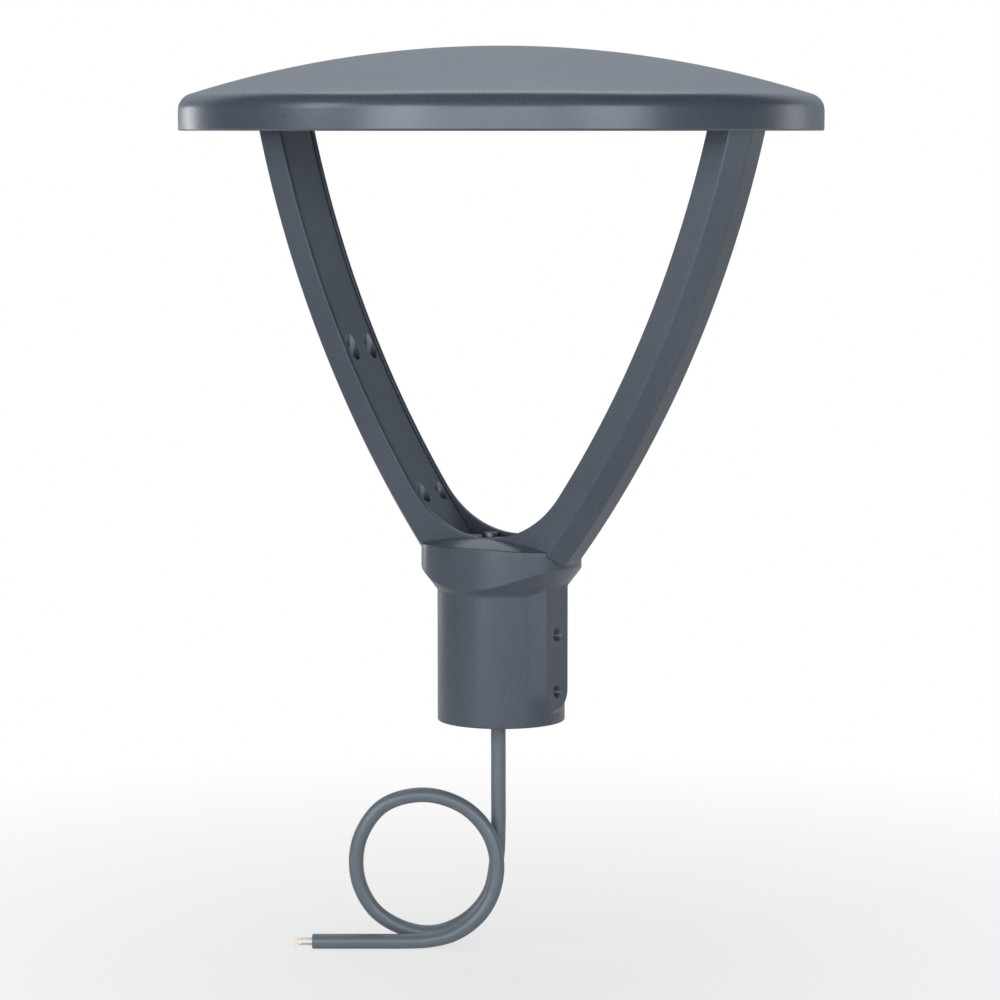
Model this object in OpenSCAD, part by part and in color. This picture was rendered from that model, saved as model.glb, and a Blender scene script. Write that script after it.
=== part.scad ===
// Post-top street lantern: a shallow round head carried by a two-armed yoke on a pole sleeve.
// Millimetres, +Z up, origin in the middle of the sleeve's mouth, arms along X.

/* [Head] */
// Diameter of the head over its rim
head_d = 450; // [430:1:480]
// Height of the rim's lower edge above the sleeve's mouth
rim_z = 415; // [411:1:420]
// Height of the crown above the rim's lower edge
crown_h = 59; // [56:1:66]
// Radius of the shoulder between the rim and the crown
shoulder_r = 12; // [9:0.5:13]
// Height of the shoulder's centre above the rim's lower edge
shoulder_h = 14; // [13:0.5:16]
// Wall of the cast canopy
canopy_wall = 4; // [3:0.5:4.5]
// Depth at which the tray is recessed above the rim's lower edge
tray_recess = 8; // [7:0.5:9]
// Thickness of the tray
tray_t = 5; // [4:0.5:6]
// Gap between the tray and the canopy's wall
tray_gap = 1.5; // [1:0.5:2.5]
// Number of screws that hold the canopy
tray_screw_n = 6; // [6:4:10]
// Distance of the canopy's screws in from the rim
tray_screw_in = 22; // [21:1:24]
// Thickness of the canopy's seal
seal_t = 2; // [1.5:0.5:2.5]

/* [Light engine] */
// Radius of the light window in the tray
window_r = 128; // [124:1:130]
// Width by which the glass disc reaches beyond the window
glass_lap = 8; // [6:1:9]
// Thickness of the glass disc
glass_t = 3.5; // [3:0.5:4]
// Width by which the glass frame reaches beyond the glass
bezel_w = 10; // [8:1:14]
// Width by which the glass frame laps the glass
bezel_lap = 10; // [8:1:12]
// Number of screws in the glass frame
bezel_screw_n = 8; // [6:2:12]
// Rows of light points across the window
led_rows = 7; // [5:2:9]
// Spacing of the light points
led_pitch = 27; // [24:1:28]
// Radius of a lens
lens_r = 9; // [7:0.5:10]
// Number of fins on the heat spreader
fin_n = 36; // [18:6:48]

/* [Yoke] */
// Width of an arm across its flat sides
arm_w = 42; // [40:1:46]
// Width of the narrow spine on an arm's outside
spine_w = 16; // [12:1:20]
// Radius of the arm's inner edge
arm_ri = 758; // [756:1:760]
// Depth of an arm's flat side from its inner edge to the crease
side_depth = 18; // [17:0.5:19]
// Depth of the chamfer from the crease to the spine
spine_depth = 9.5; // [9:0.5:10.5]
// Distance of an arm's spine in from the rim, under the head
arm_top_in = 12.5; // [12:0.5:14]
// Distance of an arm's spine from the lantern's axis at its foot
arm_foot_x = 60.1; // [59.5:0.1:60.5]
// Height of the bottom of the open curve between the arms
curve_z = 130.5; // [130:0.5:132]
// Height of the yoke's foot in the collar's pocket
foot_z = 114; // [113:0.5:115]
// Wall of the yoke beside the cover strips
lip_w = 3.5; // [3:0.5:4]
// Wall on an arm's outside
arm_wall = 4; // [3:0.5:5]
// Height of the floor that the base bolts sit on
floor_z = 125; // [124:0.5:126]
// Thickness of that floor
floor_t = 5.5; // [4.5:0.5:6]

/* [Cover strips] */
// Thickness of a cover strip
strip_t = 3; // [2:0.5:4]
// Depth at which a strip lies below the yoke's edge
strip_recess = 1; // [0.5:0.5:1.5]
// Gap beside a strip
strip_gap = 1; // [0.6:0.2:1.4]
// Radius of the screw pockets in a strip
pocket_r = 5; // [4.6:0.2:5.2]
// Height of the strips' upper screws above the sleeve's mouth
upper_screw_z = 260.4; // [250:0.1:270]
// Height of the strips' lower screws above the sleeve's mouth
lower_screw_z = 158.6; // [157:0.1:162]
// Half spacing of a pair of screws
screw_y = 10; // [9.5:0.5:10.5]

/* [Collar and sleeve] */
// Bore of the sleeve, for a pole end 76 across
bore_d = 80; // [78:0.5:82]
// Wall of the sleeve
sleeve_wall = 5; // [4:0.5:6]
// Depth of the sleeve's bore up to the pole stop
bore_depth = 77; // [74:1:78]
// Half length of the oval collar, along the arms
collar_a = 59.3; // [58.5:0.1:60.5]
// Half width of the oval collar, across the arms
collar_b = 47.5; // [47:0.5:50]
// Radius of the collar's rounded ends
collar_end_r = 44; // [42:0.5:44]
// Radius of the dome on top of the collar
dome_top_r = 250; // [220:5:300]
// Height of the crest of that dome
dome_top_z = 131; // [130.5:0.5:131.5]
// Height at which the taper under the collar leaves the sleeve
taper_z = 93; // [91:1:95]
// Rise of that taper for each unit of radius
taper_rise = 1.3; // [1.1:0.1:1.5]
// Distance from the axis to the flat rib for the set screws
rib_x = 48.2; // [47.5:0.1:50]
// Half width of the rib's flat
rib_half_w = 12.8; // [11:0.1:13.5]
// Height of the lower set screw above the mouth
set_screw_z = 24; // [20:1:28]
// Distance between the two set screws
set_screw_pitch = 40; // [36:1:42]
// Diameter of the set screws' threaded holes
set_screw_d = 8; // [6:1:10]

/* [Cord] */
// Diameter of the supply cord
cord_d = 10.5; // [9:0.5:10.5]
// Turn of the cord's loop about the vertical, from the arms' direction
cord_turn = 35.4; // [0:0.1:90]
// Diameter of a core over its insulation
core_d = 1.6; // [1.2:0.1:2.5]
// Length of insulated core that leaves the sheath
core_len = 7.7; // [5:0.1:20]
// Length of bare conductor at each tip
tip_len = 5; // [3:0.5:10]

/* [Hidden] */

$fn = 64;
eps = 0.01;

// Powder coat and the other finishes.
coat = [0.34, 0.37, 0.40];
coat_light = [0.42, 0.45, 0.48];
steel = [0.72, 0.72, 0.70];
zinc = [0.62, 0.63, 0.62];
rubber = [0.09, 0.09, 0.09];
white_plastic = [0.86, 0.86, 0.84];

// Head, from the rim's lower edge upwards.
head_r = head_d / 2;
sh_x = head_r - shoulder_r;
sh_drop = shoulder_h - crown_h;
crown_r = (sh_x * sh_x + sh_drop * sh_drop - shoulder_r * shoulder_r) / (-2 * sh_drop - 2 * shoulder_r);
crown_c = crown_h - crown_r;
crown_a = atan2(sh_x, shoulder_h - crown_c);
tray_r = head_r - canopy_wall - tray_gap;
tray_screw_pcr = head_r - tray_screw_in;
tray_z = rim_z + tray_recess;
tray_top = tray_z + tray_t;
ledge_z = tray_top + seal_t;
screw_clear = 0.3;
tray_screw_r = 2.5;
spreader_t = 6;
spreader_r = window_r + 10;
fin_in = window_r - 46;
fin_len = 44;
glass_r = window_r + glass_lap;
bezel_r = glass_r + bezel_w;
board_t = 1.6;
chip_t = 0.8;
board_r = window_r - 9;
lens_t = 2;
seal_glass_t = 1;
glass_top = tray_z - seal_glass_t;
frame_screw_pcr = (glass_r + 1 + bezel_r) / 2;
driver_size = [126, 74, 21];
driver_foot = 2;
driver_hole_in = 7;
driver_hole_x = driver_size[0] / 2 - driver_hole_in;
driver_hole_y = driver_size[1] / 2 - driver_hole_in;
gear_gap = 10;
terminal_size = [22, 30, 15];
terminal_x = -spreader_r - gear_gap - terminal_size[0];
terminal_y = 26;
surge_size = [24, 34, 14];
surge_turn = 202;

// Arms.
arm_rc = arm_ri + side_depth;
arm_rs = arm_rc + spine_depth;
strip_r0 = arm_ri + strip_recess;
strip_r1 = strip_r0 + strip_t;
strip_w = arm_w - 2 * lip_w - 2 * strip_gap;
cavity_w = strip_w - 3;
arm_top = tray_z;
// The bend's centre lies square off the middle between the spine's two ends.
spine_top = [head_r - arm_top_in, arm_top];
spine_foot = [arm_foot_x, foot_z];
spine_chord = spine_foot - spine_top;
spine_mid = (spine_foot + spine_top) / 2;
bend_off = sqrt(arm_rs * arm_rs - pow(norm(spine_chord) / 2, 2)) / norm(spine_chord);
bend_x = -(spine_mid[0] + spine_chord[1] * bend_off);
bend_z = spine_mid[1] - spine_chord[0] * bend_off;
top_block = 16;
arm_bolt_in = 19.5;
arm_bolt_x = spine_top[0] - arm_bolt_in;
arm_bolt_y = 13;
arm_bolt_r = 4;
lead_r = 3;
lead_path_r = arm_ri + 13.5;

// The open curve's bottom arc is tangent inside to the arms' inner edges.
curve_h = bend_z - curve_z;
curve_r = (arm_ri * arm_ri - bend_x * bend_x - curve_h * curve_h) / (2 * (arm_ri - curve_h));
curve_c = curve_z + curve_r;
curve_t = bend_z - arm_ri * (bend_z - curve_c) / sqrt(bend_x * bend_x + pow(bend_z - curve_c, 2));

// Fixings.
cover_screw_r = 2.5;
cover_head_r = 4.25;
cover_head_h = 4;
boss_wall = 1.5;
pocket_floor = 3;
base_bolt_x = 16;
base_bolt_y = 9.5;
base_bolt_r = 3;
base_head_r = 5;
base_head_h = 5;
washer_t = 1;

// Collar and sleeve.
bore_r = bore_d / 2;
sleeve_r = bore_r + sleeve_wall;
stop_r = bore_r - 6;
web_z = bore_depth + 3;
web_t = 6;
pocket_gap = 0.5;
chamber_r = 30;
slot_half_w = 7;
slot_half_l = 47;
slot_z = 105;
gland_r = 8;
gland_hex_r = 12;
cord_r = cord_d / 2;
cord_top = web_z - 2;
rib_flank = 9.5;

// Route of the cord in its loop's plane: along the photograph's width, depth and height.
cord_route = [
    [0, 0, cord_top], [0, 0, 60], [0, 0, 40], [-1, 2, 20], [-2, 3, 0], [-2, 4, -25], [-2, 5, -50],
    [-2, 6, -75], [-3, 6, -100], [-8, 6, -125], [-23, 6, -144], [-45, 5, -154], [-67, 4, -152],
    [-88, 3, -140], [-100, 2, -121], [-103, 1, -100], [-98, 0, -80], [-85, -1, -63], [-66, -2, -55],
    [-45, -3, -55], [-24, -4, -64], [-9, -5, -81], [-3, -6, -102], [-6, -7, -123], [-16, -8, -140],
    [-32, -8, -152], [-50, -8, -157], [-70, -8, -158], [-92, -8, -158], [-113, -8, -158],
    [-134, -8, -158]
];

// ---- shared forms ----

function turn(p, a) = [p[0] * cos(a) - p[1] * sin(a), p[0] * sin(a) + p[1] * cos(a), p[2]];
function spline_at(a, b, c, d, t) =
    0.5 * (2 * b + (c - a) * t + (2 * a - 5 * b + 4 * c - d) * t * t + (3 * b - a - 3 * c + d) * t * t * t);
function spline(pts, n) = [
    for (i = [0 : len(pts) - 2])
        for (j = [0 : n - 1])
            spline_at(pts[max(i - 1, 0)], pts[i], pts[i + 1], pts[min(i + 2, len(pts) - 1)], j / n),
    pts[len(pts) - 1]
];
function unit(v) = v / norm(v);
function heading(p, i) = unit(p[min(i + 1, len(p) - 1)] - p[max(i - 1, 0)]);
function ring(c, h, side, r, n) =
    let (u = unit(side - (side * h) * h), v = cross(h, u))
    [for (k = [0 : n - 1]) c + r * cos(360 * k / n) * u + r * sin(360 * k / n) * v];

// Round tube along a list of points; side is a direction that never runs along the path.
module tube(p, r, side, n = 10) {
    rings = [for (i = [0 : len(p) - 1]) each ring(p[i], heading(p, i), side, r, n)];
    last = (len(p) - 1) * n;
    polyhedron(
        points = rings,
        faces = concat(
            [[for (k = [0 : n - 1]) k]],
            [for (i = [0 : len(p) - 2]) for (k = [0 : n - 1])
                let (a = i * n + k, b = i * n + (k + 1) % n)
                each [[a, a + n, b + n], [a, b + n, b]]],
            [[for (k = [n - 1 : -1 : 0]) last + k]]
        ),
        convexity = 6
    );
}

// Half section of the head's outer form, pulled in by a wall.
module head_section(wall) {
    intersection() {
        union() {
            translate([0, -1])
                square([head_r - wall, shoulder_h + 1]);
            translate([sh_x, shoulder_h])
                circle(r = shoulder_r - wall, $fn = 96);
            intersection() {
                translate([0, crown_c])
                    circle(r = crown_r - wall, $fn = 720);
                polygon([
                    [0, shoulder_h - 1], [sh_x * (shoulder_h - 1 - crown_c) / (shoulder_h - crown_c), shoulder_h - 1],
                    [2 * crown_r * sin(crown_a), crown_c + 2 * crown_r * cos(crown_a)], [0, 2 * crown_r]
                ]);
            }
            square([sh_x, shoulder_h]);
        }
        translate([0, -1])
            square([head_r, crown_h + 2]);
    }
}

module head_form(wall, from) {
    translate([0, 0, rim_z])
        rotate_extrude($fn = 180)
            intersection() {
                head_section(wall);
                translate([0, from])
                    square([head_r, crown_h]);
            }
}

// Disc about an axis along Y through the centre of one arm's bend.
module bend_disc(side, section_r, half_w) {
    translate([-side * bend_x, half_w, bend_z])
        rotate([90, 0, 0])
            cylinder(r = section_r, h = 2 * half_w, $fn = 720);
}

// Chamfered disc that bounds one arm on its outside.
module arm_disc(side, grow) {
    hw = arm_w / 2 + grow;
    hs = spine_w / 2 + grow;
    translate([-side * bend_x, 0, bend_z])
        rotate([90, 0, 0])
            rotate_extrude($fn = 720)
                polygon([
                    [0, -hw], [arm_rc + grow, -hw], [arm_rs + grow, -hs],
                    [arm_rs + grow, hs], [arm_rc + grow, hw], [0, hw]
                ]);
}

// Outline of the whole yoke between its foot and a height.
module yoke_form(grow, low, high) {
    intersection() {
        arm_disc(1, grow);
        arm_disc(-1, grow);
        translate([-head_r, -arm_w, low])
            cube([2 * head_r, 2 * arm_w, high - low]);
    }
}

// Everything between the arms inside a radius about both bends, down to a height.
module between_arms(section_r, half_w, low) {
    intersection() {
        bend_disc(1, section_r, half_w);
        bend_disc(-1, section_r, half_w);
        translate([-head_r, -half_w, low])
            cube([2 * head_r, 2 * half_w, rim_z + 100 - low]);
    }
}

// Height of the surface at a radius about the bend, over a distance from the axis.
function bend_height(section_r, x) = bend_z - sqrt(section_r * section_r - pow(x + bend_x, 2));
function pocket_bottom(x) = bend_height(strip_r0, x - pocket_r) - 4;
function bend_reach(section_r, z) = sqrt(section_r * section_r - pow(bend_z - z, 2)) - bend_x;
cover_screw_spots = [
    for (s = [-1, 1])
        for (x = [bend_reach(strip_r0, upper_screw_z), bend_reach(strip_r0, lower_screw_z)])
            for (y = [-1, 1]) [s * x, y * screw_y, pocket_bottom(x)]
];
base_spots = [for (x = [-1, 1]) for (y = [-1, 1]) [x * base_bolt_x, y * base_bolt_y]];
arm_bolt_spots = [for (x = [-1, 1]) for (y = [-1, 1]) [x * arm_bolt_x, y * arm_bolt_y]];
tray_spots = [for (i = [0 : tray_screw_n - 1])
    let (a = 360 * (i + 0.5) / tray_screw_n) [tray_screw_pcr * cos(a), tray_screw_pcr * sin(a)]];
frame_spots = [for (i = [0 : bezel_screw_n - 1])
    let (a = 360 * (i + 0.5) / bezel_screw_n) [frame_screw_pcr * cos(a), frame_screw_pcr * sin(a)]];
led_half = floor(led_rows / 2);
led_spots = [
    for (i = [-led_half : led_half])
        for (j = [-led_half : led_half])
            if (norm([i, j]) * led_pitch < board_r - lens_r) [i * led_pitch, j * led_pitch]
];

// Cap screw with its shank below the seat and a socket in its head.
module cap_screw(r, head_r, head_h, length, socket_r) {
    difference() {
        union() {
            translate([0, 0, -length])
                cylinder(r = r, h = length + eps);
            cylinder(r = head_r, h = head_h);
        }
        translate([0, 0, head_h * 0.45])
            cylinder(r = socket_r, h = head_h, $fn = 6);
    }
}

module washer(outer, inner, t) {
    difference() {
        cylinder(r = outer, h = t);
        translate([0, 0, -1])
            cylinder(r = inner, h = t + 2);
    }
}

// ---- head ----

module canopy() {
    color(coat_light)
    difference() {
        union() {
            difference() {
                head_form(0, 0);
                head_form(canopy_wall, -1);
            }
            // ledge that the seal presses on
            difference() {
                translate([0, 0, ledge_z])
                    cylinder(r = head_r - canopy_wall / 2, h = 4, $fn = 180);
                translate([0, 0, ledge_z - 1])
                    cylinder(r = tray_r - 7, h = 6, $fn = 180);
            }
            // screw bosses, each up to the crown
            intersection() {
                head_form(canopy_wall / 2, 0);
                for (p = tray_spots)
                    translate([p[0], p[1], ledge_z - seal_t])
                        cylinder(r = 6, h = crown_h);
            }
        }
        for (p = tray_spots)
            translate([p[0], p[1], ledge_z - seal_t - 1])
                cylinder(r = tray_screw_r, h = 13);
    }
}

module canopy_seal() {
    color(rubber)
    difference() {
        translate([0, 0, tray_top])
            cylinder(r = tray_r - 0.5, h = seal_t, $fn = 180);
        translate([0, 0, tray_top - 1])
            cylinder(r = tray_r - 6.5, h = seal_t + 2, $fn = 180);
    }
}

module gear_tray() {
    color(coat)
    difference() {
        union() {
            translate([0, 0, tray_z])
                cylinder(r = tray_r, h = tray_t, $fn = 180);
            // stiffening ribs on the dry side
            for (a = [45 : 90 : 315])
                rotate(a)
                    translate([window_r + 14, -2, tray_top - eps])
                        cube([44, 4, 7]);
        }
        translate([0, 0, tray_z - 1])
            cylinder(r = window_r, h = tray_t + 2, $fn = 180);
        for (p = tray_spots)
            translate([p[0], p[1], tray_z - 1])
                cylinder(r = tray_screw_r + screw_clear, h = tray_t + 2);
        for (p = arm_bolt_spots)
            translate([p[0], p[1], tray_z - 1])
                cylinder(r = arm_bolt_r + screw_clear, h = tray_t + 2);
        for (p = frame_spots)
            translate([p[0], p[1], tray_z - 1])
                cylinder(r = 2, h = tray_t + 2);
        // passage of the feed lead
        translate([-lead_hole_x, 0, tray_z - 1])
            cylinder(r = lead_r + 1, h = tray_t + 2);
    }
}

module tray_screws() {
    color(steel)
    for (p = tray_spots)
        translate([p[0], p[1], tray_z])
            rotate([180, 0, 0])
                cap_screw(tray_screw_r - 0.1, 4.6, 3.6, 14, 2.3);
}

module heat_spreader() {
    color(zinc)
    difference() {
        union() {
            translate([0, 0, tray_top])
                cylinder(r = spreader_r, h = spreader_t, $fn = 180);
            for (i = [0 : fin_n - 1])
                rotate(360 * i / fin_n)
                    translate([fin_in, -1, tray_top + spreader_t - eps])
                        cube([fin_len, 2, 11]);
        }
        for (x = [-1, 1])
            for (y = [-1, 1])
                translate([x * driver_hole_x, y * driver_hole_y, tray_top - 1])
                    cylinder(r = 1.9, h = spreader_t + 2);
    }
}

module led_board() {
    color([0.93, 0.93, 0.90])
    translate([0, 0, tray_top - board_t])
        cylinder(r = board_r, h = board_t, $fn = 120);
}

module led_chips() {
    color([0.95, 0.85, 0.45])
    for (p = led_spots)
        translate([p[0] - 2, p[1] - 2, tray_top - board_t - chip_t])
            cube([4, 4, chip_t]);
}

// Clear plate with one shallow lens under each light point.
module lens_plate() {
    z = tray_top - board_t - chip_t;
    color([0.85, 0.90, 0.93, 0.6])
    difference() {
        union() {
            translate([0, 0, z - lens_t])
                cylinder(r = board_r - 1, h = lens_t, $fn = 120);
            for (p = led_spots)
                translate([p[0], p[1], z - lens_t])
                    intersection() {
                        translate([0, 0, 31])
                            sphere(r = 32.3, $fn = 96);
                        translate([0, 0, -5])
                            cylinder(r = lens_r, h = 5 + eps);
                    }
        }
        for (p = led_spots)
            translate([p[0], p[1], z - 1])
                cylinder(r = 3.5, h = 2);
    }
}

module glass() {
    color([0.80, 0.88, 0.88, 0.35])
    translate([0, 0, glass_top - glass_t])
        cylinder(r = glass_r, h = glass_t, $fn = 120);
}

module glass_seal() {
    color(rubber)
    difference() {
        translate([0, 0, glass_top])
            cylinder(r = glass_r, h = seal_glass_t, $fn = 120);
        translate([0, 0, glass_top - 1])
            cylinder(r = window_r + 0.5, h = seal_glass_t + 2, $fn = 120);
    }
}

module glass_frame() {
    low = glass_top - glass_t - 1.5;
    color(coat)
    difference() {
        translate([0, 0, low])
            cylinder(r = bezel_r, h = tray_z - low, $fn = 120);
        translate([0, 0, low - 1])
            cylinder(r = glass_r - bezel_lap, h = tray_z - low + 2, $fn = 120);
        translate([0, 0, low + 1.5])
            cylinder(r = glass_r + 0.5, h = tray_z - low, $fn = 120);
        for (p = frame_spots)
            translate([p[0], p[1], low - 1])
                cylinder(r = 2.2, h = tray_z - low + 2);
    }
}

module frame_screws() {
    low = glass_top - glass_t - 1.5;
    color(steel)
    for (p = frame_spots)
        translate([p[0], p[1], low])
            rotate([180, 0, 0])
                cap_screw(1.9, 3.6, 1.6, 9, 1.4);
}

module driver() {
    color(white_plastic)
    translate([0, 0, tray_top + spreader_t])
        difference() {
            union() {
                translate([-driver_size[0] / 2, -driver_size[1] / 2 + 12, 0])
                    cube([driver_size[0], driver_size[1] - 24, driver_size[2]]);
                translate([-driver_size[0] / 2, -driver_size[1] / 2, 0])
                    cube([driver_size[0], driver_size[1], driver_foot]);
            }
            for (x = [-1, 1])
                for (y = [-1, 1])
                    translate([x * driver_hole_x, y * driver_hole_y, -1])
                        cylinder(r = 2.2, h = driver_foot + 2);
        }
}

module driver_screws() {
    color(steel)
    for (x = [-1, 1])
        for (y = [-1, 1])
            translate([x * driver_hole_x, y * driver_hole_y, tray_top + spreader_t + driver_foot])
                cap_screw(1.8, 3.4, 2.6, 7, 1.4);
}

module terminal_block() {
    color(white_plastic)
    translate([terminal_x, terminal_y, tray_top])
        difference() {
            cube(terminal_size);
            for (i = [0 : 2])
                translate([terminal_size[0] / 2, 5 + 10 * i, 6])
                    cylinder(r = 2.4, h = 10);
            for (i = [0 : 2])
                translate([-1, 5 + 10 * i, 5])
                    rotate([0, 90, 0])
                        cylinder(r = 1.8, h = 6);
        }
}

module surge_module() {
    color([0.20, 0.22, 0.25])
    rotate(surge_turn)
        translate([spreader_r + gear_gap, -surge_size[1] / 2, tray_top])
            cube(surge_size);
}

// Two leads from the terminal block over the fins to the driver.
module inner_leads() {
    face = terminal_x + terminal_size[0];
    goal = -driver_size[0] / 2;
    color([0.75, 0.75, 0.72])
    for (k = [0, 1])
        tube(
            spline([
                [face, terminal_y + 5 + 10 * k, tray_top + 5],
                [face + 3, terminal_y + 5 + 10 * k, tray_top + 5],
                [face + 6, terminal_y + 5 + 10 * k, tray_top + 5],
                [face + 13, terminal_y + 2 + 9 * k, tray_top + 12],
                [-fin_in - fin_len + 6, terminal_y - 3 + 7 * k, tray_top + 21],
                [-fin_in - fin_len / 2, terminal_y / 2 + 4 * k, tray_top + 22],
                [-fin_in, 8 + 4 * k, tray_top + 19],
                [goal - 11, 4 + 4 * k, tray_top + 16], [goal - 6, 4 + 4 * k, tray_top + 16],
                [goal, 4 + 4 * k, tray_top + 16]
            ], 2),
            1.2, [0, 1, 0.2], 8
        );
}

// ---- yoke ----

// Distance from the axis at which the feed lead leaves the arm's top.
lead_hole_x = sqrt(lead_path_r * lead_path_r - pow(bend_z - arm_top + top_block / 2, 2)) - bend_x;

module yoke() {
    color(coat)
    difference() {
        union() {
            difference() {
                yoke_form(0, foot_z, arm_top);
                // the open curve between the arms
                between_arms(arm_ri, arm_w, curve_t);
                translate([0, arm_w, curve_c])
                    rotate([90, 0, 0])
                        cylinder(r = curve_r, h = 2 * arm_w, $fn = 360);
                // seat of the cover strips
                between_arms(strip_r1, strip_w / 2 + strip_gap, floor_z);
                // duct behind the strips
                intersection() {
                    arm_duct(1);
                    arm_duct(-1);
                    translate([-head_r, -arm_w, foot_z + 2])
                        cube([2 * head_r, 2 * arm_w, arm_top - top_block - foot_z - 2]);
                }
                // space under the floor
                translate([-slot_half_l, -cavity_w / 2, foot_z - 1])
                    cube([2 * slot_half_l, cavity_w, floor_z - floor_t - foot_z + 1]);
            }
            // floor between the arms
            intersection() {
                yoke_form(0, floor_z - floor_t, floor_z);
                translate([-40, -arm_w / 2 + lip_w / 2, 0])
                    cube([80, arm_w - lip_w, floor_z]);
            }
            // seats of the base bolts
            for (p = base_spots)
                translate([p[0], p[1], foot_z])
                    cylinder(r = 5.2, h = floor_z - floor_t - foot_z + 1);
            // pillars under the strips' screws
            intersection() {
                yoke_form(-arm_wall / 2, foot_z + 4, arm_top);
                for (p = cover_screw_spots)
                    translate([p[0], p[1], p[2] - pocket_floor - 60])
                        cylinder(r = 5.2, h = 60);
            }
        }
        for (p = cover_screw_spots)
            translate([p[0], p[1], p[2] - pocket_floor - 12])
                cylinder(r = cover_screw_r, h = 13);
        for (p = base_spots)
            translate([p[0], p[1], foot_z - 1])
                cylinder(r = base_bolt_r + screw_clear, h = 20);
        for (p = arm_bolt_spots)
            translate([p[0], p[1], arm_top - 14])
                cylinder(r = arm_bolt_r, h = 15);
        translate([-lead_hole_x, 0, arm_top - top_block - 6])
            cylinder(r = lead_r + 1.8, h = top_block + 8);
        // screw in the base cap
        translate([0, 0, floor_z - floor_t - 1])
            cylinder(r = 2.5, h = floor_t + 2);
    }
}

module arm_duct(side) {
    hw = cavity_w / 2;
    hs = spine_w / 2 - 1.5;
    translate([-side * bend_x, 0, bend_z])
        rotate([90, 0, 0])
            rotate_extrude($fn = 720)
                polygon([
                    [0, -hw], [arm_rc - arm_wall / 2, -hw], [arm_rs - arm_wall, -hs],
                    [arm_rs - arm_wall, hs], [arm_rc - arm_wall / 2, hw], [0, hw]
                ]);
}

module arm_bolts() {
    color(steel)
    for (p = arm_bolt_spots)
        translate([p[0], p[1], tray_top + washer_t])
            cap_screw(arm_bolt_r - 0.1, 6.2, 6, tray_t + washer_t + 12, 3.4);
}

module arm_washers() {
    color(zinc)
    for (p = arm_bolt_spots)
        translate([p[0], p[1], tray_top])
            washer(7.5, arm_bolt_r + 0.2, washer_t);
}

// Cover strip of one arm, with cups for its screws.
module arm_cover(side) {
    color(coat_light)
    difference() {
        union() {
            difference() {
                intersection() {
                    bend_disc(side, strip_r1, strip_w / 2);
                    translate([side > 0 ? 30 : -head_r, -arm_w, floor_z])
                        cube([head_r - 30, 2 * arm_w, arm_top - floor_z - 0.5]);
                }
                bend_disc(side, strip_r0, arm_w);
            }
            for (p = cover_screw_spots)
                if (p[0] * side > 0)
                    difference() {
                        intersection() {
                            translate([p[0], p[1], p[2] - pocket_floor])
                                cylinder(r = pocket_r + boss_wall, h = 40);
                            bend_disc(side, arm_rc + 6, cavity_w / 2 - 0.3);
                        }
                        bend_disc(side, strip_r0 + 1, arm_w);
                    }
        }
        for (p = cover_screw_spots)
            if (p[0] * side > 0) {
                translate(p)
                    cylinder(r = pocket_r, h = 40);
                translate([p[0], p[1], p[2] - pocket_floor - 1])
                    cylinder(r = cover_screw_r + screw_clear, h = pocket_floor + 2);
            }
    }
}

module arm_cover_right() {
    arm_cover(1);
}

module arm_cover_left() {
    arm_cover(-1);
}

module cover_screws() {
    color(steel)
    for (p = cover_screw_spots)
        translate(p)
            cap_screw(cover_screw_r - 0.1, cover_head_r, cover_head_h, pocket_floor + 10, 2.2);
}

module base_cap() {
    color(coat_light)
    translate([0, 0, floor_z]) {
        cylinder(r = 11.5, h = 2.5);
        cylinder(r = 6, h = 4);
        translate([0, 0, -floor_t + 1])
            cylinder(r = 2.4, h = floor_t);
    }
}

module base_bolts() {
    color(steel)
    for (p = base_spots)
        translate([p[0], p[1], floor_z + washer_t])
            cap_screw(base_bolt_r - 0.1, base_head_r, base_head_h, 28, 2.6);
}

module base_washers() {
    color(zinc)
    for (p = base_spots)
        translate([p[0], p[1], floor_z])
            washer(5.8, base_bolt_r + 0.2, washer_t);
}

// ---- collar and sleeve ----

collar_end_x = collar_a - collar_end_r;
collar_side_r = (collar_end_r * collar_end_r - collar_end_x * collar_end_x - collar_b * collar_b)
    / (2 * (collar_end_r - collar_b));
collar_tan_x = collar_end_x * collar_side_r / (collar_side_r - collar_end_r);

// Oval of two wide arcs and two end arcs, tangent to each other.
module collar_plan() {
    intersection() {
        translate([0, collar_b - collar_side_r])
            circle(r = collar_side_r, $fn = 360);
        translate([0, collar_side_r - collar_b])
            circle(r = collar_side_r, $fn = 360);
        translate([-collar_tan_x, -collar_b])
            square([2 * collar_tan_x, 2 * collar_b]);
    }
    for (s = [-1, 1])
        translate([s * collar_end_x, 0])
            circle(r = collar_end_r, $fn = 180);
}

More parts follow.
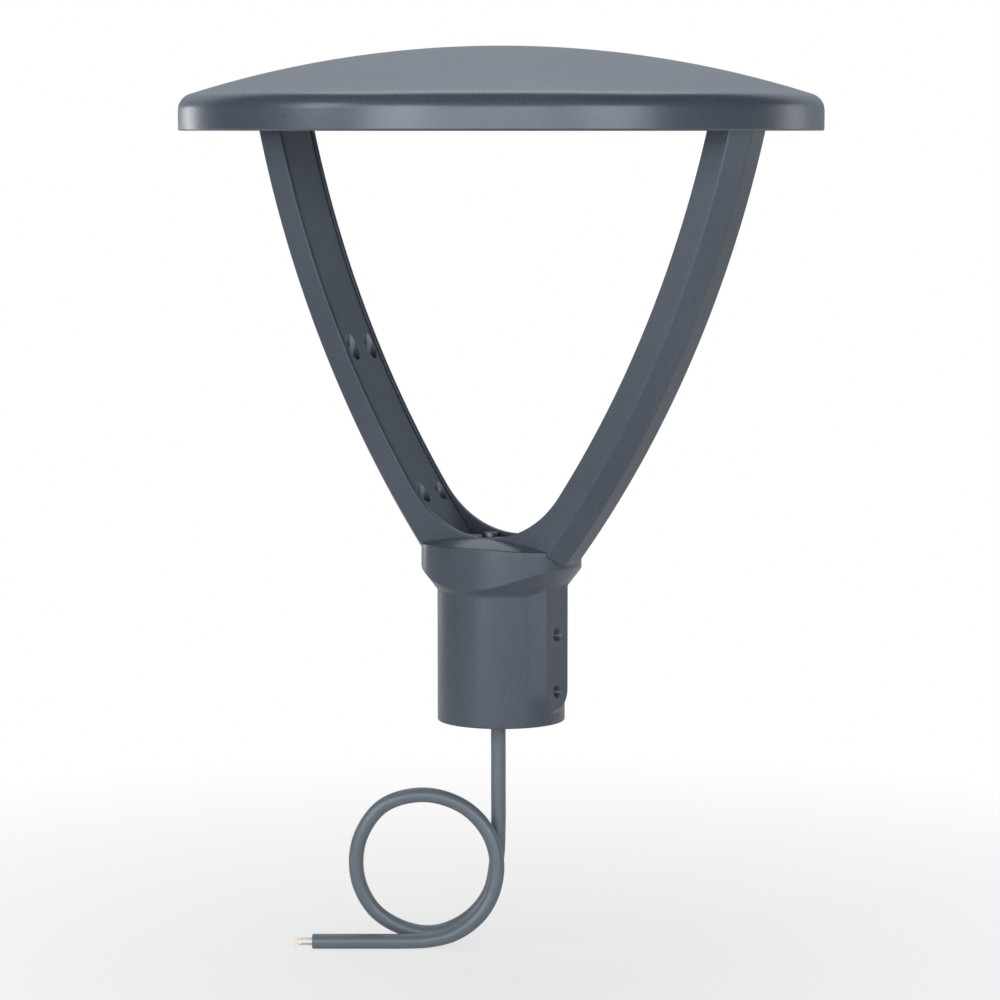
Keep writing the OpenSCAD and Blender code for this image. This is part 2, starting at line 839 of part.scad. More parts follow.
module spigot() {
    set_axis_z = [set_screw_z, set_screw_z + set_screw_pitch];
    rib_base = rib_x - rib_flank;
    color(coat)
    difference() {
        union() {
            cylinder(r = sleeve_r, h = taper_z + 10, $fn = 180);
            // oval collar between its taper and its domed top
            intersection() {
                translate([0, 0, 60])
                    linear_extrude(height = 100)
                        collar_plan();
                translate([0, 0, dome_top_z - dome_top_r])
                    sphere(r = dome_top_r, $fn = 360);
                translate([0, 0, taper_z])
                    cylinder(r1 = sleeve_r, r2 = sleeve_r + 50 / taper_rise, h = 50, $fn = 180);
            }
            // rib with its rounded lower end
            translate([0, 0, set_screw_z])
                linear_extrude(height = taper_z + 12 - set_screw_z)
                    polygon([
                        [sleeve_r - 15, -rib_half_w - rib_flank], [rib_base, -rib_half_w - rib_flank],
                        [rib_x, -rib_half_w], [rib_x, rib_half_w],
                        [rib_base, rib_half_w + rib_flank], [sleeve_r - 15, rib_half_w + rib_flank]
                    ]);
            translate([rib_base, 0, set_screw_z])
                rotate([0, 90, 0])
                    cylinder(r1 = rib_half_w + rib_flank, r2 = rib_half_w, h = rib_flank, $fn = 96);
        }
        // bore for the pole, its stop and the web above
        translate([0, 0, -1])
            cylinder(r = bore_r, h = bore_depth + 1, $fn = 180);
        translate([0, 0, -1])
            cylinder(r = stop_r, h = web_z + 1, $fn = 120);
        translate([0, 0, web_z - 1])
            cylinder(r = gland_r + 0.2, h = web_t + 2);
        // lead-in at the mouth
        translate([0, 0, -eps])
            cylinder(r1 = bore_r + 1.2, r2 = bore_r, h = 1.2, $fn = 180);
        // chamber above the web, around the bolts' bosses
        difference() {
            translate([0, 0, web_z + web_t])
                cylinder(r = chamber_r, h = 60, $fn = 96);
            for (p = base_spots)
                translate([p[0], p[1], 0])
                    cylinder(r = 5.2, h = foot_z);
        }
        translate([-slot_half_l, -slot_half_w, slot_z])
            cube([2 * slot_half_l, 2 * slot_half_w, 60]);
        // pocket of the yoke's foot
        yoke_form(pocket_gap, foot_z, dome_top_z + 10);
        for (p = base_spots)
            translate([p[0], p[1], web_z + web_t + 6])
                cylinder(r = base_bolt_r, h = 40);
        // threaded holes of the set screws
        for (z = set_axis_z)
            translate([bore_r - 8, 0, z])
                rotate([0, 90, 0])
                    cylinder(r = set_screw_d / 2, h = 30);
    }
}

module gland_body() {
    color(rubber)
    difference() {
        union() {
            translate([0, 0, web_z - 5])
                cylinder(r = gland_hex_r, h = 5, $fn = 6);
            translate([0, 0, web_z - 10])
                cylinder(r = gland_r, h = web_t + 16);
        }
        translate([0, 0, web_z - 11])
            cylinder(r = cord_r + 0.15, h = web_t + 18);
    }
}

module gland_nut() {
    color(rubber)
    difference() {
        translate([0, 0, web_z - 19])
            union() {
                translate([0, 0, 5])
                    cylinder(r = gland_hex_r, h = 8.5, $fn = 6);
                cylinder(r1 = 7.4, r2 = 9.6, h = 5 + eps);
            }
        translate([0, 0, web_z - 20])
            cylinder(r = cord_r + 0.15, h = 20);
        translate([0, 0, web_z - 10.3])
            cylinder(r = gland_r + 0.1, h = 10);
    }
}

module gland_locknut() {
    color(rubber)
    translate([0, 0, web_z + web_t])
        difference() {
            cylinder(r = gland_hex_r, h = 5, $fn = 6);
            translate([0, 0, -1])
                cylinder(r = gland_r + 0.1, h = 7);
        }
}

// Lead that runs on from the cord, through the left arm to the terminal block.
module feed_lead() {
    arc = [for (b = [37 : -2 : 17]) [-(lead_path_r * cos(b) - bend_x), 0, bend_z - lead_path_r * sin(b)]];
    color(rubber)
    tube(
        concat(
            spline([
                [0, 0, cord_top], [0, 0, 84], [0, 0, 90], [-1, 0, 97], [-5, 0, 104], [-13, 0, 109],
                [-24, 0, 111], [-36, 0, 113.5], [-47, 0, 120.5], [-55, 0, 131]
            ], 2),
            arc,
            [[-lead_hole_x + 1.4, 0, arm_top - top_block - 1], [-lead_hole_x, 0, arm_top - 4],
                [-lead_hole_x, 0, tray_top + 4],
                [-lead_hole_x + 3, 1, tray_top + 10], [terminal_x - 13, 6, tray_top + 13],
                [terminal_x - 10, 15, tray_top + 12], [terminal_x - 8, 25, tray_top + 9.5],
                [terminal_x - 5, terminal_y + 8, tray_top + 8], [terminal_x - 2, terminal_y + 10, tray_top + 7.5],
                [terminal_x, terminal_y + 10, tray_top + 7.5]]
        ),
        lead_r, [0.1, 1, 0.3], 8
    );
}

// ---- cord ----

cord_path = [for (p = spline(cord_route, 2)) turn(p, cord_turn)];
cord_end = cord_path[len(cord_path) - 1];

module cord() {
    color([0.46, 0.49, 0.52])
    tube(cord_path, cord_r, turn([0, 1, 0], cord_turn), 12);
}

// Placed at the cord's end, with +Z along the cord's last stretch.
module at_cord_end(shift) {
    translate(cord_end)
        rotate([0, 0, cord_turn])
            translate([0, 0, shift])
                rotate([0, -90, 0])
                    children();
}

core_shift = 1.9;

module core_pale() {
    color([0.80, 0.87, 0.86])
    at_cord_end(core_shift)
        cylinder(r = core_d / 2, h = core_len, $fn = 24);
}

module core_brown() {
    color([0.82, 0.72, 0.67])
    at_cord_end(-core_shift)
        cylinder(r = core_d / 2, h = core_len, $fn = 24);
}

module core_tips() {
    color([0.92, 0.84, 0.68])
    for (s = [-1, 1])
        at_cord_end(s * core_shift)
            translate([0, 0, core_len])
                cylinder(r = core_d / 2 - 0.25, h = tip_len, $fn = 24);
}

canopy();
canopy_seal();
gear_tray();
tray_screws();
heat_spreader();
led_board();
led_chips();
lens_plate();
glass();
glass_seal();
glass_frame();
frame_screws();
driver();
driver_screws();
terminal_block();
surge_module();
inner_leads();
yoke();
arm_bolts();
arm_washers();
arm_cover_right();
arm_cover_left();
cover_screws();
base_cap();
base_bolts();
base_washers();
spigot();
gland_body();
gland_nut();
gland_locknut();
feed_lead();
cord();
core_pale();
core_brown();
core_tips();
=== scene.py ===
# %% [markdown]
# # A post-top street lantern
# The lantern is a shallow round head of cast aluminium on a forked yoke. The yoke stands in an
# oval collar with a sleeve for the pole's end, and a supply cord hangs out of the sleeve in one
# loop. All castings carry the same blue-grey powder coat with a fine texture.
#
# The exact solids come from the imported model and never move. Most outer castings get a finer
# shell here, with rounded edges that catch the light, and every surface gets its finish.

# %% Load the frame and keep its box
import math
import bmesh
import bpy
import numpy as np
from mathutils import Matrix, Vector


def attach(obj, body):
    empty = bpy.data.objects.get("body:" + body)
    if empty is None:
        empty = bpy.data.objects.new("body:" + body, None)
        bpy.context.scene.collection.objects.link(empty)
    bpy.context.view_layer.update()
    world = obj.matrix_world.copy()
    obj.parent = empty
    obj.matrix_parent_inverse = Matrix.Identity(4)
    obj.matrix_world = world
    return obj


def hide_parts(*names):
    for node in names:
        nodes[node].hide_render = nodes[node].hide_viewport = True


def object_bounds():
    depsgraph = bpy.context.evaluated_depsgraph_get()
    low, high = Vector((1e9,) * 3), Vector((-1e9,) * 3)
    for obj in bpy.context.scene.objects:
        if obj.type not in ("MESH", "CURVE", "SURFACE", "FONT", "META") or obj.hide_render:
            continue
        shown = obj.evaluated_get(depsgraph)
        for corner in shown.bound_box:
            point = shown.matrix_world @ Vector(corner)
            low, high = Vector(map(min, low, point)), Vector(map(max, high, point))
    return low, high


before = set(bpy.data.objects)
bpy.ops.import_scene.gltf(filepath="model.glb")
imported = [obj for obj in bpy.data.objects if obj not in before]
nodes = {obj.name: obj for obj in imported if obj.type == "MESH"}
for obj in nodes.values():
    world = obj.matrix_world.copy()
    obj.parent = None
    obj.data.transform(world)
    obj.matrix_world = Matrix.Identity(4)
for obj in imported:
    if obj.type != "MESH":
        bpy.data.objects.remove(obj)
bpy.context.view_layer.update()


# %% [markdown]
# ## The camera
# The photograph looks level at the head's rim, a little from the right of the front, so the
# rim shows as a straight line and everything below it from slightly above. A long lens from
# two and a half metres keeps the verticals nearly upright. The camera is tipped down a little
# and shifted a little, because a large shift would push the object out of the other views.

# %% Camera
VIEW_TURN = math.radians(35.4)
VIEW_PITCH = math.radians(4.59)
VIEW_DISTANCE = 2.503
VIEW_HEIGHT = 0.4132

toward = Vector((-math.sin(VIEW_TURN), math.cos(VIEW_TURN), 0))
camera_data = bpy.data.cameras.new("photo_camera")
camera_data.lens = 128.55
camera_data.sensor_width = 36
camera_data.shift_x = -0.0012
camera_data.shift_y = -0.08
camera_data.clip_start = 0.05
camera_data.clip_end = 60
camera = bpy.data.objects.new("photo_camera", camera_data)
camera.location = -toward * VIEW_DISTANCE + Vector((0, 0, VIEW_HEIGHT))
gaze = toward * math.cos(VIEW_PITCH) + Vector((0, 0, -math.sin(VIEW_PITCH)))
camera.rotation_euler = gaze.to_track_quat("-Z", "Y").to_euler()
bpy.context.scene.collection.objects.link(camera)
bpy.context.scene.camera = camera
print("camera at", [round(v, 3) for v in camera.location])


# %% [markdown]
# ## Helpers for node materials
# A material here is a small graph. `add` makes a node, sets its values and links its inputs in
# one line, so each finish reads like a recipe. `calc`, `remap` and `blend` do the same for the
# three nodes that every graph needs, and give the socket that goes on to the next node.

# %% Material helpers
def add(tree, kind, links=None, **values):
    node = tree.nodes.new(kind)
    for key, value in values.items():
        setattr(node, key, value)
    for socket, source in (links or {}).items():
        target = node.inputs[socket]
        if isinstance(source, bpy.types.NodeSocket):
            tree.links.new(source, target)
        else:
            target.default_value = source
    return node


def calc(tree, operation, *values, **more):
    return add(tree, "ShaderNodeMath", dict(enumerate(values)), operation=operation,
               **more).outputs[0]


def remap(tree, value, low=0.0, high=1.0, to_low=0.0, to_high=1.0, **more):
    return add(tree, "ShaderNodeMapRange", {
        "Value": value, "From Min": low, "From Max": high, "To Min": to_low, "To Max": to_high},
        **more).outputs[0]


def blend(tree, share, first, second):
    return add(tree, "ShaderNodeMixShader", {0: share, 1: first, 2: second}).outputs[0]


def new_group(name, inputs, outputs):
    """A shader group with float inputs (with defaults) and named outputs."""
    group = bpy.data.node_groups.new(name, "ShaderNodeTree")
    for socket, kind, value in inputs:
        made = group.interface.new_socket(socket, in_out="INPUT", socket_type=kind)
        if value is not None:
            made.default_value = value
    for socket, kind in outputs:
        group.interface.new_socket(socket, in_out="OUTPUT", socket_type=kind)
    return group, add(group, "NodeGroupInput"), add(group, "NodeGroupOutput")


def place_group(tree, group, links):
    return add(tree, "ShaderNodeGroup", links, node_tree=group)


def new_material(name):
    made = bpy.data.materials.new(name)
    made.use_nodes = True
    shader = made.node_tree.nodes["Principled BSDF"]
    place = add(made.node_tree, "ShaderNodeTexCoord").outputs["Object"]
    return made, made.node_tree, shader, place


print("helpers for materials are ready")


# %% [markdown]
# ## Two effects that several finishes share
# Powder coat is a plastic skin that flows only halfway in the oven, so it keeps a fine orange
# peel with tiny grains, and its tone drifts a little over a casting. Brushed or turned metal
# has fine lines along one direction. Both are groups that put out masks and heights only.

# %% Shared effects
def make_grain():
    group, given, out = new_group(
        "fine_grain",
        [("Place", "NodeSocketVector", None), ("Grain", "NodeSocketFloat", 1500.0),
         ("Drift", "NodeSocketFloat", 9.0)],
        [("Tone", "NodeSocketFloat"), ("Gloss", "NodeSocketFloat"), ("Height", "NodeSocketFloat")])
    peel = add(group, "ShaderNodeTexNoise", {
        "Vector": given.outputs["Place"], "Scale": given.outputs["Grain"],
        "Detail": 2.5, "Roughness": 0.6})
    specks = add(group, "ShaderNodeTexVoronoi", {
        "Vector": given.outputs["Place"], "Scale": given.outputs["Grain"]},
        feature="SMOOTH_F1")
    drift = add(group, "ShaderNodeTexNoise", {
        "Vector": given.outputs["Place"], "Scale": given.outputs["Drift"],
        "Detail": 3.0, "Roughness": 0.55})
    height = calc(group, "ADD", peel.outputs["Fac"], specks.outputs["Distance"])
    fine = calc(group, "MULTIPLY", peel.outputs["Fac"], 0.35)
    wide = calc(group, "MULTIPLY_ADD", drift.outputs["Fac"], 0.65, fine)
    gloss = remap(group, specks.outputs["Distance"], 0.1, 0.8)
    group.links.new(remap(group, wide, 0.33, 0.67), out.inputs["Tone"])
    group.links.new(gloss, out.inputs["Gloss"])
    group.links.new(height, out.inputs["Height"])
    return group


def make_lines():
    group, given, out = new_group(
        "tool_lines",
        [("Place", "NodeSocketVector", None), ("Along", "NodeSocketVector", (1, 1, 1))],
        [("Line", "NodeSocketFloat")])
    stretched = add(group, "ShaderNodeVectorMath", {
        0: given.outputs["Place"], 1: given.outputs["Along"]}, operation="MULTIPLY")
    noise = add(group, "ShaderNodeTexNoise", {
        "Vector": stretched.outputs[0], "Scale": 1.0, "Detail": 4.0, "Roughness": 0.7})
    group.links.new(noise.outputs["Fac"], out.inputs["Line"])
    return group


GRAIN = make_grain()
LINES = make_lines()
print("shared effects:", GRAIN.name, LINES.name)


# %% [markdown]
# ## The finishes
# Each function makes one kind of finish, and the calls below it give the real ones their
# colours. Values that are the same all over a surface go straight on the shader's sockets.

# %% Kinds of finish
COOL_SHINE = (0.84, 0.93, 1.0, 1)
CROWN_DULL = 0.05


def tone_between(tree, factor, dark, light):
    return add(tree, "ShaderNodeMix", {"Factor": factor, "A": (*dark, 1), "B": (*light, 1)},
               data_type="RGBA")


def dress(tree, shader, tone, gloss, height, strength, depth):
    """Colour, roughness and relief onto the shader of a finish."""
    relief = add(tree, "ShaderNodeBump", {
        "Height": height, "Strength": strength, "Distance": depth})
    tree.links.new(tone.outputs["Result"], shader.inputs["Base Color"])
    tree.links.new(gloss, shader.inputs["Roughness"])
    tree.links.new(relief.outputs[0], shader.inputs["Normal"])


def coat_finish(name, dark, light, rough=(0.24, 0.36), grain=1500.0, bump=0.14, shine=0.8,
                crown=None):
    """Powder coat or moulded skin. It gets a little duller from the lower height in crown on."""
    made, tree, shader, place = new_material(name)
    skin = place_group(tree, GRAIN, {"Place": place, "Grain": grain, "Drift": 9.0})
    tone = tone_between(tree, skin.outputs["Tone"], dark, light)
    gloss = remap(tree, skin.outputs["Gloss"], 0.0, 1.0, *rough)
    if crown:
        height = add(tree, "ShaderNodeSeparateXYZ", {"Vector": place}).outputs["Z"]
        gloss = calc(tree, "ADD", gloss, remap(tree, height, *crown, 0.0, CROWN_DULL))
    dress(tree, shader, tone, gloss, skin.outputs["Height"], bump, 0.00018)
    shader.inputs["Specular IOR Level"].default_value = shine
    shader.inputs["Specular Tint"].default_value = COOL_SHINE
    return made


def metal_finish(name, dark, light, rough=(0.24, 0.42), along=(900.0, 900.0, 90.0)):
    """Turned metal, whose fine lines are set by how dense they are along each direction."""
    made, tree, shader, place = new_material(name)
    lines = place_group(tree, LINES, {"Place": place, "Along": along})
    tone = tone_between(tree, lines.outputs["Line"], dark, light)
    gloss = remap(tree, lines.outputs["Line"], 0.3, 0.7, *rough)
    dress(tree, shader, tone, gloss, lines.outputs["Line"], 0.12, 0.00005)
    shader.inputs["Metallic"].default_value = 1.0
    return made


def moulded_finish(name, dark, light, rough=(0.38, 0.52), grain=900.0, bump=0.12):
    return coat_finish(name, dark, light, rough, grain, bump, shine=0.5)


def clear_finish(name, tint, rough):
    made, tree, shader, place = new_material(name)
    smear = add(tree, "ShaderNodeTexNoise", {"Vector": place, "Scale": 35.0, "Detail": 2.0})
    gloss = remap(tree, smear.outputs["Fac"], 0.0, 1.0, rough * 0.5, rough * 1.5)
    tree.links.new(gloss, shader.inputs["Roughness"])
    shader.inputs["Base Color"].default_value = (*tint, 1)
    shader.inputs["Transmission Weight"].default_value = 1.0
    shader.inputs["IOR"].default_value = 1.5
    return made


print("four kinds of finish: coat, metal, moulded and clear")


# %% [markdown]
# The coat is a dark blue grey. The head shell's crown is a little duller than its shoulder, so
# that its far edge doesn't glare. The head shell and the cover strips get lighter copies of the
# same coat, which is painted light, because the head is lit from above and the strips face up. The
# screws in the strips' pockets are darker steel, which is painted shade of the pockets. The bolts
# at the fork's foot are rougher, and their darker steel is painted shade of the floor between the
# arms, while the screws under the head stay bright.

# %% Colours of the finishes
CROWN_STARTS = (0.4405, 0.4440)
COAT = coat_finish("anthracite_coat", (0.046, 0.057, 0.077), (0.061, 0.074, 0.098))
# The head gets a lighter copy of the coat: painted light, because the head's top is lit from
# above.
COAT_HEAD_PAINTED_LIGHT = coat_finish("anthracite_coat_head", (0.054, 0.068, 0.093), (0.071, 0.086, 0.115),
                       crown=CROWN_STARTS)
# The cover strips get a lighter copy of the coat: painted light, because they face up into the
# light.
COAT_STRIP_PAINTED_LIGHT = coat_finish("anthracite_coat_strip", (0.092, 0.110, 0.139), (0.112, 0.132, 0.163),
                         rough=(0.28, 0.40))
STEEL = metal_finish("stainless_steel", (0.50, 0.50, 0.49), (0.72, 0.72, 0.70))
# The darker steel of the screws in the strips' pockets is painted shade of the pockets.
POCKET_SHADE_STEEL = metal_finish("darkened_steel", (0.20, 0.21, 0.22), (0.36, 0.37, 0.38))
# The foot bolts and washers are rougher steel, and their darker colour is painted shade of the
# fork's floor between the arms.
DULL_STEEL_PAINTED_SHADE = metal_finish("dulled_steel", (0.13, 0.14, 0.15), (0.26, 0.27, 0.28), (0.42, 0.6))
BARE_CAST = coat_finish("bare_casting", (0.50, 0.51, 0.52), (0.66, 0.67, 0.68), (0.45, 0.6), 700.0)
RUBBER = moulded_finish("black_silicone", (0.020, 0.020, 0.021), (0.036, 0.036, 0.037),
                        (0.55, 0.7))
GLAND = moulded_finish("black_polyamide", (0.028, 0.029, 0.030), (0.046, 0.047, 0.048))
CASE = moulded_finish("pale_case", (0.66, 0.66, 0.63), (0.76, 0.76, 0.73))
DARK_CASE = moulded_finish("dark_case", (0.05, 0.055, 0.06), (0.07, 0.075, 0.08))
BOARD = moulded_finish("solder_mask_white", (0.78, 0.78, 0.75), (0.86, 0.86, 0.83), (0.3, 0.4))
PHOSPHOR = moulded_finish("yellow_phosphor", (0.82, 0.62, 0.16), (0.90, 0.72, 0.24), (0.2, 0.3))
LEAD_SKIN = moulded_finish("lead_sheath", (0.030, 0.031, 0.033), (0.045, 0.046, 0.048),
                           (0.45, 0.6))
GLASS = clear_finish("toughened_glass", (0.90, 0.96, 0.94), 0.02)
OPTIC = clear_finish("clear_optic", (0.97, 0.98, 0.98), 0.04)
SHEATH = coat_finish("cord_sheath", (0.114, 0.136, 0.162), (0.146, 0.170, 0.198),
                     rough=(0.34, 0.46), grain=1100.0, bump=0.16)
PALE_SKIN = moulded_finish("pale_insulation", (0.58, 0.70, 0.68), (0.70, 0.80, 0.78), (0.3, 0.4))
BROWN_SKIN = moulded_finish("brown_insulation", (0.56, 0.40, 0.33), (0.68, 0.51, 0.44), (0.3, 0.4))
COPPER = metal_finish("bare_strand", (0.74, 0.56, 0.36), (0.88, 0.70, 0.48), (0.25, 0.4),
                      (2500.0, 2500.0, 2500.0))
print(len(bpy.data.materials), "materials")


# %% A finish for every node
finish_of = {
    "canopy": COAT_HEAD_PAINTED_LIGHT, "canopy_seal": RUBBER, "gear_tray": COAT, "tray_screws": STEEL,
    "heat_spreader": BARE_CAST, "led_board": BOARD, "led_chips": PHOSPHOR, "lens_plate": OPTIC,
    "glass": GLASS, "glass_seal": RUBBER, "glass_frame": COAT, "frame_screws": STEEL,
    "driver": CASE, "driver_screws": STEEL, "terminal_block": CASE, "surge_module": DARK_CASE,
    "inner_leads": LEAD_SKIN, "yoke": COAT, "arm_bolts": STEEL, "arm_washers": STEEL,
    "arm_cover_right": COAT_STRIP_PAINTED_LIGHT, "arm_cover_left": COAT_STRIP_PAINTED_LIGHT, "cover_screws": POCKET_SHADE_STEEL,
    "base_cap": COAT, "base_bolts": DULL_STEEL_PAINTED_SHADE, "base_washers": DULL_STEEL_PAINTED_SHADE, "spigot": COAT,
    "gland_body": GLAND, "gland_nut": GLAND, "gland_locknut": GLAND, "feed_lead": LEAD_SKIN,
    "cord": SHEATH, "core_pale": PALE_SKIN, "core_brown": BROWN_SKIN, "core_tips": COPPER,
}
for name, finish in finish_of.items():
    for slot in nodes[name].material_slots:
        slot.material = finish
print(len(finish_of), "nodes have a finish")


# %% [markdown]
# ## Helpers for meshes
# A finished piece sits at the origin with its place in its mesh. `tidy_mesh` merges doubled
# points, turns the faces outwards and smooths everything below a crease angle. `even_normals`
# lets large faces rule the normals, so narrow rounded edges shade cleanly beside wide faces.

# %% Mesh helpers
MM = 0.001
WELD = 1e-6
CREASE = 32.0


def plain_object(name, points, edges=(), faces=()):
    """Points in millimetres, edges and faces as lists of indices."""
    mesh = bpy.data.meshes.new(name)
    mesh.from_pydata([tuple(c * MM for c in p) for p in points], edges, faces)
    made = bpy.data.objects.new(name, mesh)
    bpy.context.scene.collection.objects.link(made)
    return made


def mesh_object(name, points, faces, material):
    made = plain_object(name, points, faces=faces)
    made.data.materials.append(material)
    tidy_mesh(made.data)
    return made


def tidy_mesh(mesh, crease=CREASE):
    work = bmesh.new()
    work.from_mesh(mesh)
    bmesh.ops.remove_doubles(work, verts=work.verts, dist=WELD)
    bmesh.ops.dissolve_degenerate(work, edges=work.edges, dist=WELD)
    bmesh.ops.recalc_face_normals(work, faces=work.faces)
    work.to_mesh(mesh)
    work.free()
    mesh.shade_smooth()
    mesh.set_sharp_from_angle(angle=math.radians(crease))


def apply_modifiers(piece):
    """Turns the evaluated object into its plain mesh."""
    graph = bpy.context.evaluated_depsgraph_get()
    mesh = bpy.data.meshes.new_from_object(piece.evaluated_get(graph))
    piece.modifiers.clear()
    old = piece.data
    piece.data = mesh
    mesh.name = piece.name
    if isinstance(old, bpy.types.Mesh):
        bpy.data.meshes.remove(old)


def even_normals(piece):
    weigh = piece.modifiers.new("even", "WEIGHTED_NORMAL")
    weigh.keep_sharp = True
    weigh.weight = 50
    apply_modifiers(piece)


def settle(piece, *stands_for):
    """Rides on the one body and stands for its solids, which it hides."""
    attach(piece, "root")
    if stands_for:
        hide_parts(*stands_for)
    triangles = sum(len(p.vertices) - 2 for p in piece.data.polygons)
    print(f"{piece.name}: {triangles} triangles")


def ring_of(radius, z, sides, x=0.0, y=0.0):
    return [(x + radius * math.cos(math.tau * k / sides),
             y + radius * math.sin(math.tau * k / sides), z) for k in range(sides)]


def ring_faces(rows, sides, base=0):
    """Faces between rings of points laid one after the other, and one over each end."""
    faces = [(base + i * sides + k, base + i * sides + (k + 1) % sides,
              base + (i + 1) * sides + (k + 1) % sides, base + (i + 1) * sides + k)
             for i in range(rows - 1) for k in range(sides)]
    last = base + (rows - 1) * sides
    return faces + [list(range(base, base + sides))[::-1], list(range(last, last + sides))]


print("lengths are in millimetres, welded at", WELD, "m, creased at", CREASE, "degrees")


# %% [markdown]
# Real castings and turned parts have no sharp edges, and a rounded edge is what catches the
# light. So a flat outline gets a small arc in each corner before it is turned, pushed or laid
# along a path, which is cleaner than a bevel on the finished mesh.

# %% Rounded outlines
def unit(vector):
    return vector / np.linalg.norm(vector)


def corner_arc(before, corner, after, radius, steps):
    """Points of the fillet in a corner of a flat outline."""
    a, b, c = (np.array(p, float) for p in (before, corner, after))
    u, v = unit(a - b), unit(c - b)
    half = math.acos(np.clip(u @ v, -1, 1)) / 2
    start, end = b + u * radius / math.tan(half), b + v * radius / math.tan(half)
    middle = b + unit(u + v) * radius / math.sin(half)
    first, last = start - middle, end - middle
    sweep = math.pi - 2 * half
    return [tuple(middle + (first * math.sin(sweep * (1 - i / steps))
                            + last * math.sin(sweep * i / steps)) / math.sin(sweep))
            for i in range(steps + 1)]


def rounded(outline, radii, steps=4, closed=False):
    """A flat outline whose corners are rounded, each by its own radius."""
    made, count = [], len(outline)
    for i, (point, radius) in enumerate(zip(outline, radii)):
        if radius == 0 or (not closed and i in (0, count - 1)):
            made.append(tuple(point))
        else:
            made += corner_arc(outline[i - 1], point, outline[(i + 1) % count], radius, steps)
    return made


print("a square's corners rounded:", len(rounded([(0, 0), (9, 0), (9, 9), (0, 9)], [1] * 4,
                                                 closed=True)), "points")


# %% [markdown]
# ## The cord
# The supply cord comes straight down out of its gland, curls once to the left in a loop of
# about 10 cm and runs out level to its bare end. It is 10.5 mm thick. The route is the same
# list of points that the solid follows, joined by one smooth curve. A tube of rings round that
# curve is better than a curve with a round bevel here, because its cut end can be rounded over
# the two cores.

# %% Route of the cord
CORD_R = 5.25
CORD_TURN = 35.4
cord_route = [
    (0, 0, 78), (0, 0, 60), (0, 0, 40), (-1, 2, 20), (-2, 3, 0), (-2, 4, -25), (-2, 5, -50),
    (-2, 6, -75), (-3, 6, -100), (-8, 6, -125), (-23, 6, -144), (-45, 5, -154), (-67, 4, -152),
    (-88, 3, -140), (-100, 2, -121), (-103, 1, -100), (-98, 0, -80), (-85, -1, -63),
    (-66, -2, -55), (-45, -3, -55), (-24, -4, -64), (-9, -5, -81), (-3, -6, -102),
    (-6, -7, -123), (-16, -8, -140), (-32, -8, -152), (-50, -8, -157), (-70, -8, -158),
    (-92, -8, -158), (-113, -8, -158), (-134, -8, -158),
]


def turned(point, degrees):
    c, s = math.cos(math.radians(degrees)), math.sin(math.radians(degrees))
    return (point[0] * c - point[1] * s, point[0] * s + point[1] * c, point[2])


def smooth_route(points, steps):
    p = [np.array(q, float) for q in points]
    made = []
    for i in range(len(p) - 1):
        a, b, c, d = p[max(i - 1, 0)], p[i], p[i + 1], p[min(i + 2, len(p) - 1)]
        for j in range(steps):
            t = j / steps
            made.append(0.5 * (2 * b + (c - a) * t + (2 * a - 5 * b + 4 * c - d) * t * t
                               + (3 * b - a - 3 * c + d) * t * t * t))
    return made + [p[-1]]


cord_path = [np.array(turned(p, CORD_TURN)) for p in smooth_route(cord_route, 8)]


# %% Cord
def tube_mesh(path, radii, sides):
    """Rings round a path, each with its own radius, closed at both ends."""
    points, last_side = [], np.array((0.0, 1.0, 0.0))
    count = len(path)
    for i, centre in enumerate(path):
        heading = unit(path[min(i + 1, count - 1)] - path[max(i - 1, 0)])
        side = last_side = unit(last_side - (last_side @ heading) * heading)
        up = np.cross(heading, side)
        for k in range(sides):
            a = math.tau * k / sides
            points.append(centre + radii[i] * (math.cos(a) * side + math.sin(a) * up))
    return points, ring_faces(count, sides)


CUT_ROUND = 0.7
CUT_STEPS = (1.0, 0.6, 0.25, 0.0)
out_way = unit(cord_path[-1] - cord_path[-2])
tube_path = cord_path[:-1] + [cord_path[-1] - out_way * CUT_ROUND * k for k in CUT_STEPS]
tube_radii = [CORD_R] * (len(cord_path) - 1) + [
    CORD_R - CUT_ROUND * (1 - math.sqrt(1 - (1 - k) ** 2)) for k in CUT_STEPS]
cord_points, cord_faces = tube_mesh(tube_path, tube_radii, 32)
supply_cord = mesh_object("supply_cord", cord_points, cord_faces, SHEATH)
even_normals(supply_cord)
settle(supply_cord, "cord")


# %% [markdown]
# ## The cord's two cores
# The end is stripped: two insulated cores stick out of the sheath, one pale and one brownish,
# and each shows a few millimetres of bare conductor. A conductor is seven fine strands, one in
# the middle and six twisted round it.

# %% Cores and strands
CORE_R = 0.8
CORE_SHIFT = 1.9
CORE_LENGTH = 7.7
CORE_HIDDEN = 2.0
TIP_LENGTH, TIP_HIDDEN = 5.0, 0.5
STRAND_R, STRAND_TWIST, STRAND_STEPS = 0.18, 9.0, 14
cord_end, upward = cord_path[-1], np.array((0, 0, 1))


def core_piece(name, shift, material, node):
    base = cord_end + upward * shift - out_way * CORE_HIDDEN
    steps = [0.0] + [CORE_HIDDEN + CORE_LENGTH - k for k in (0.2, 0.05, 0.0)]
    radii = [CORE_R, CORE_R, CORE_R - 0.06, CORE_R - 0.2]
    points, faces = tube_mesh([base + out_way * s for s in steps], radii, 24)
    piece = mesh_object(name, points, faces, material)
    even_normals(piece)
    settle(piece, node)
    return piece


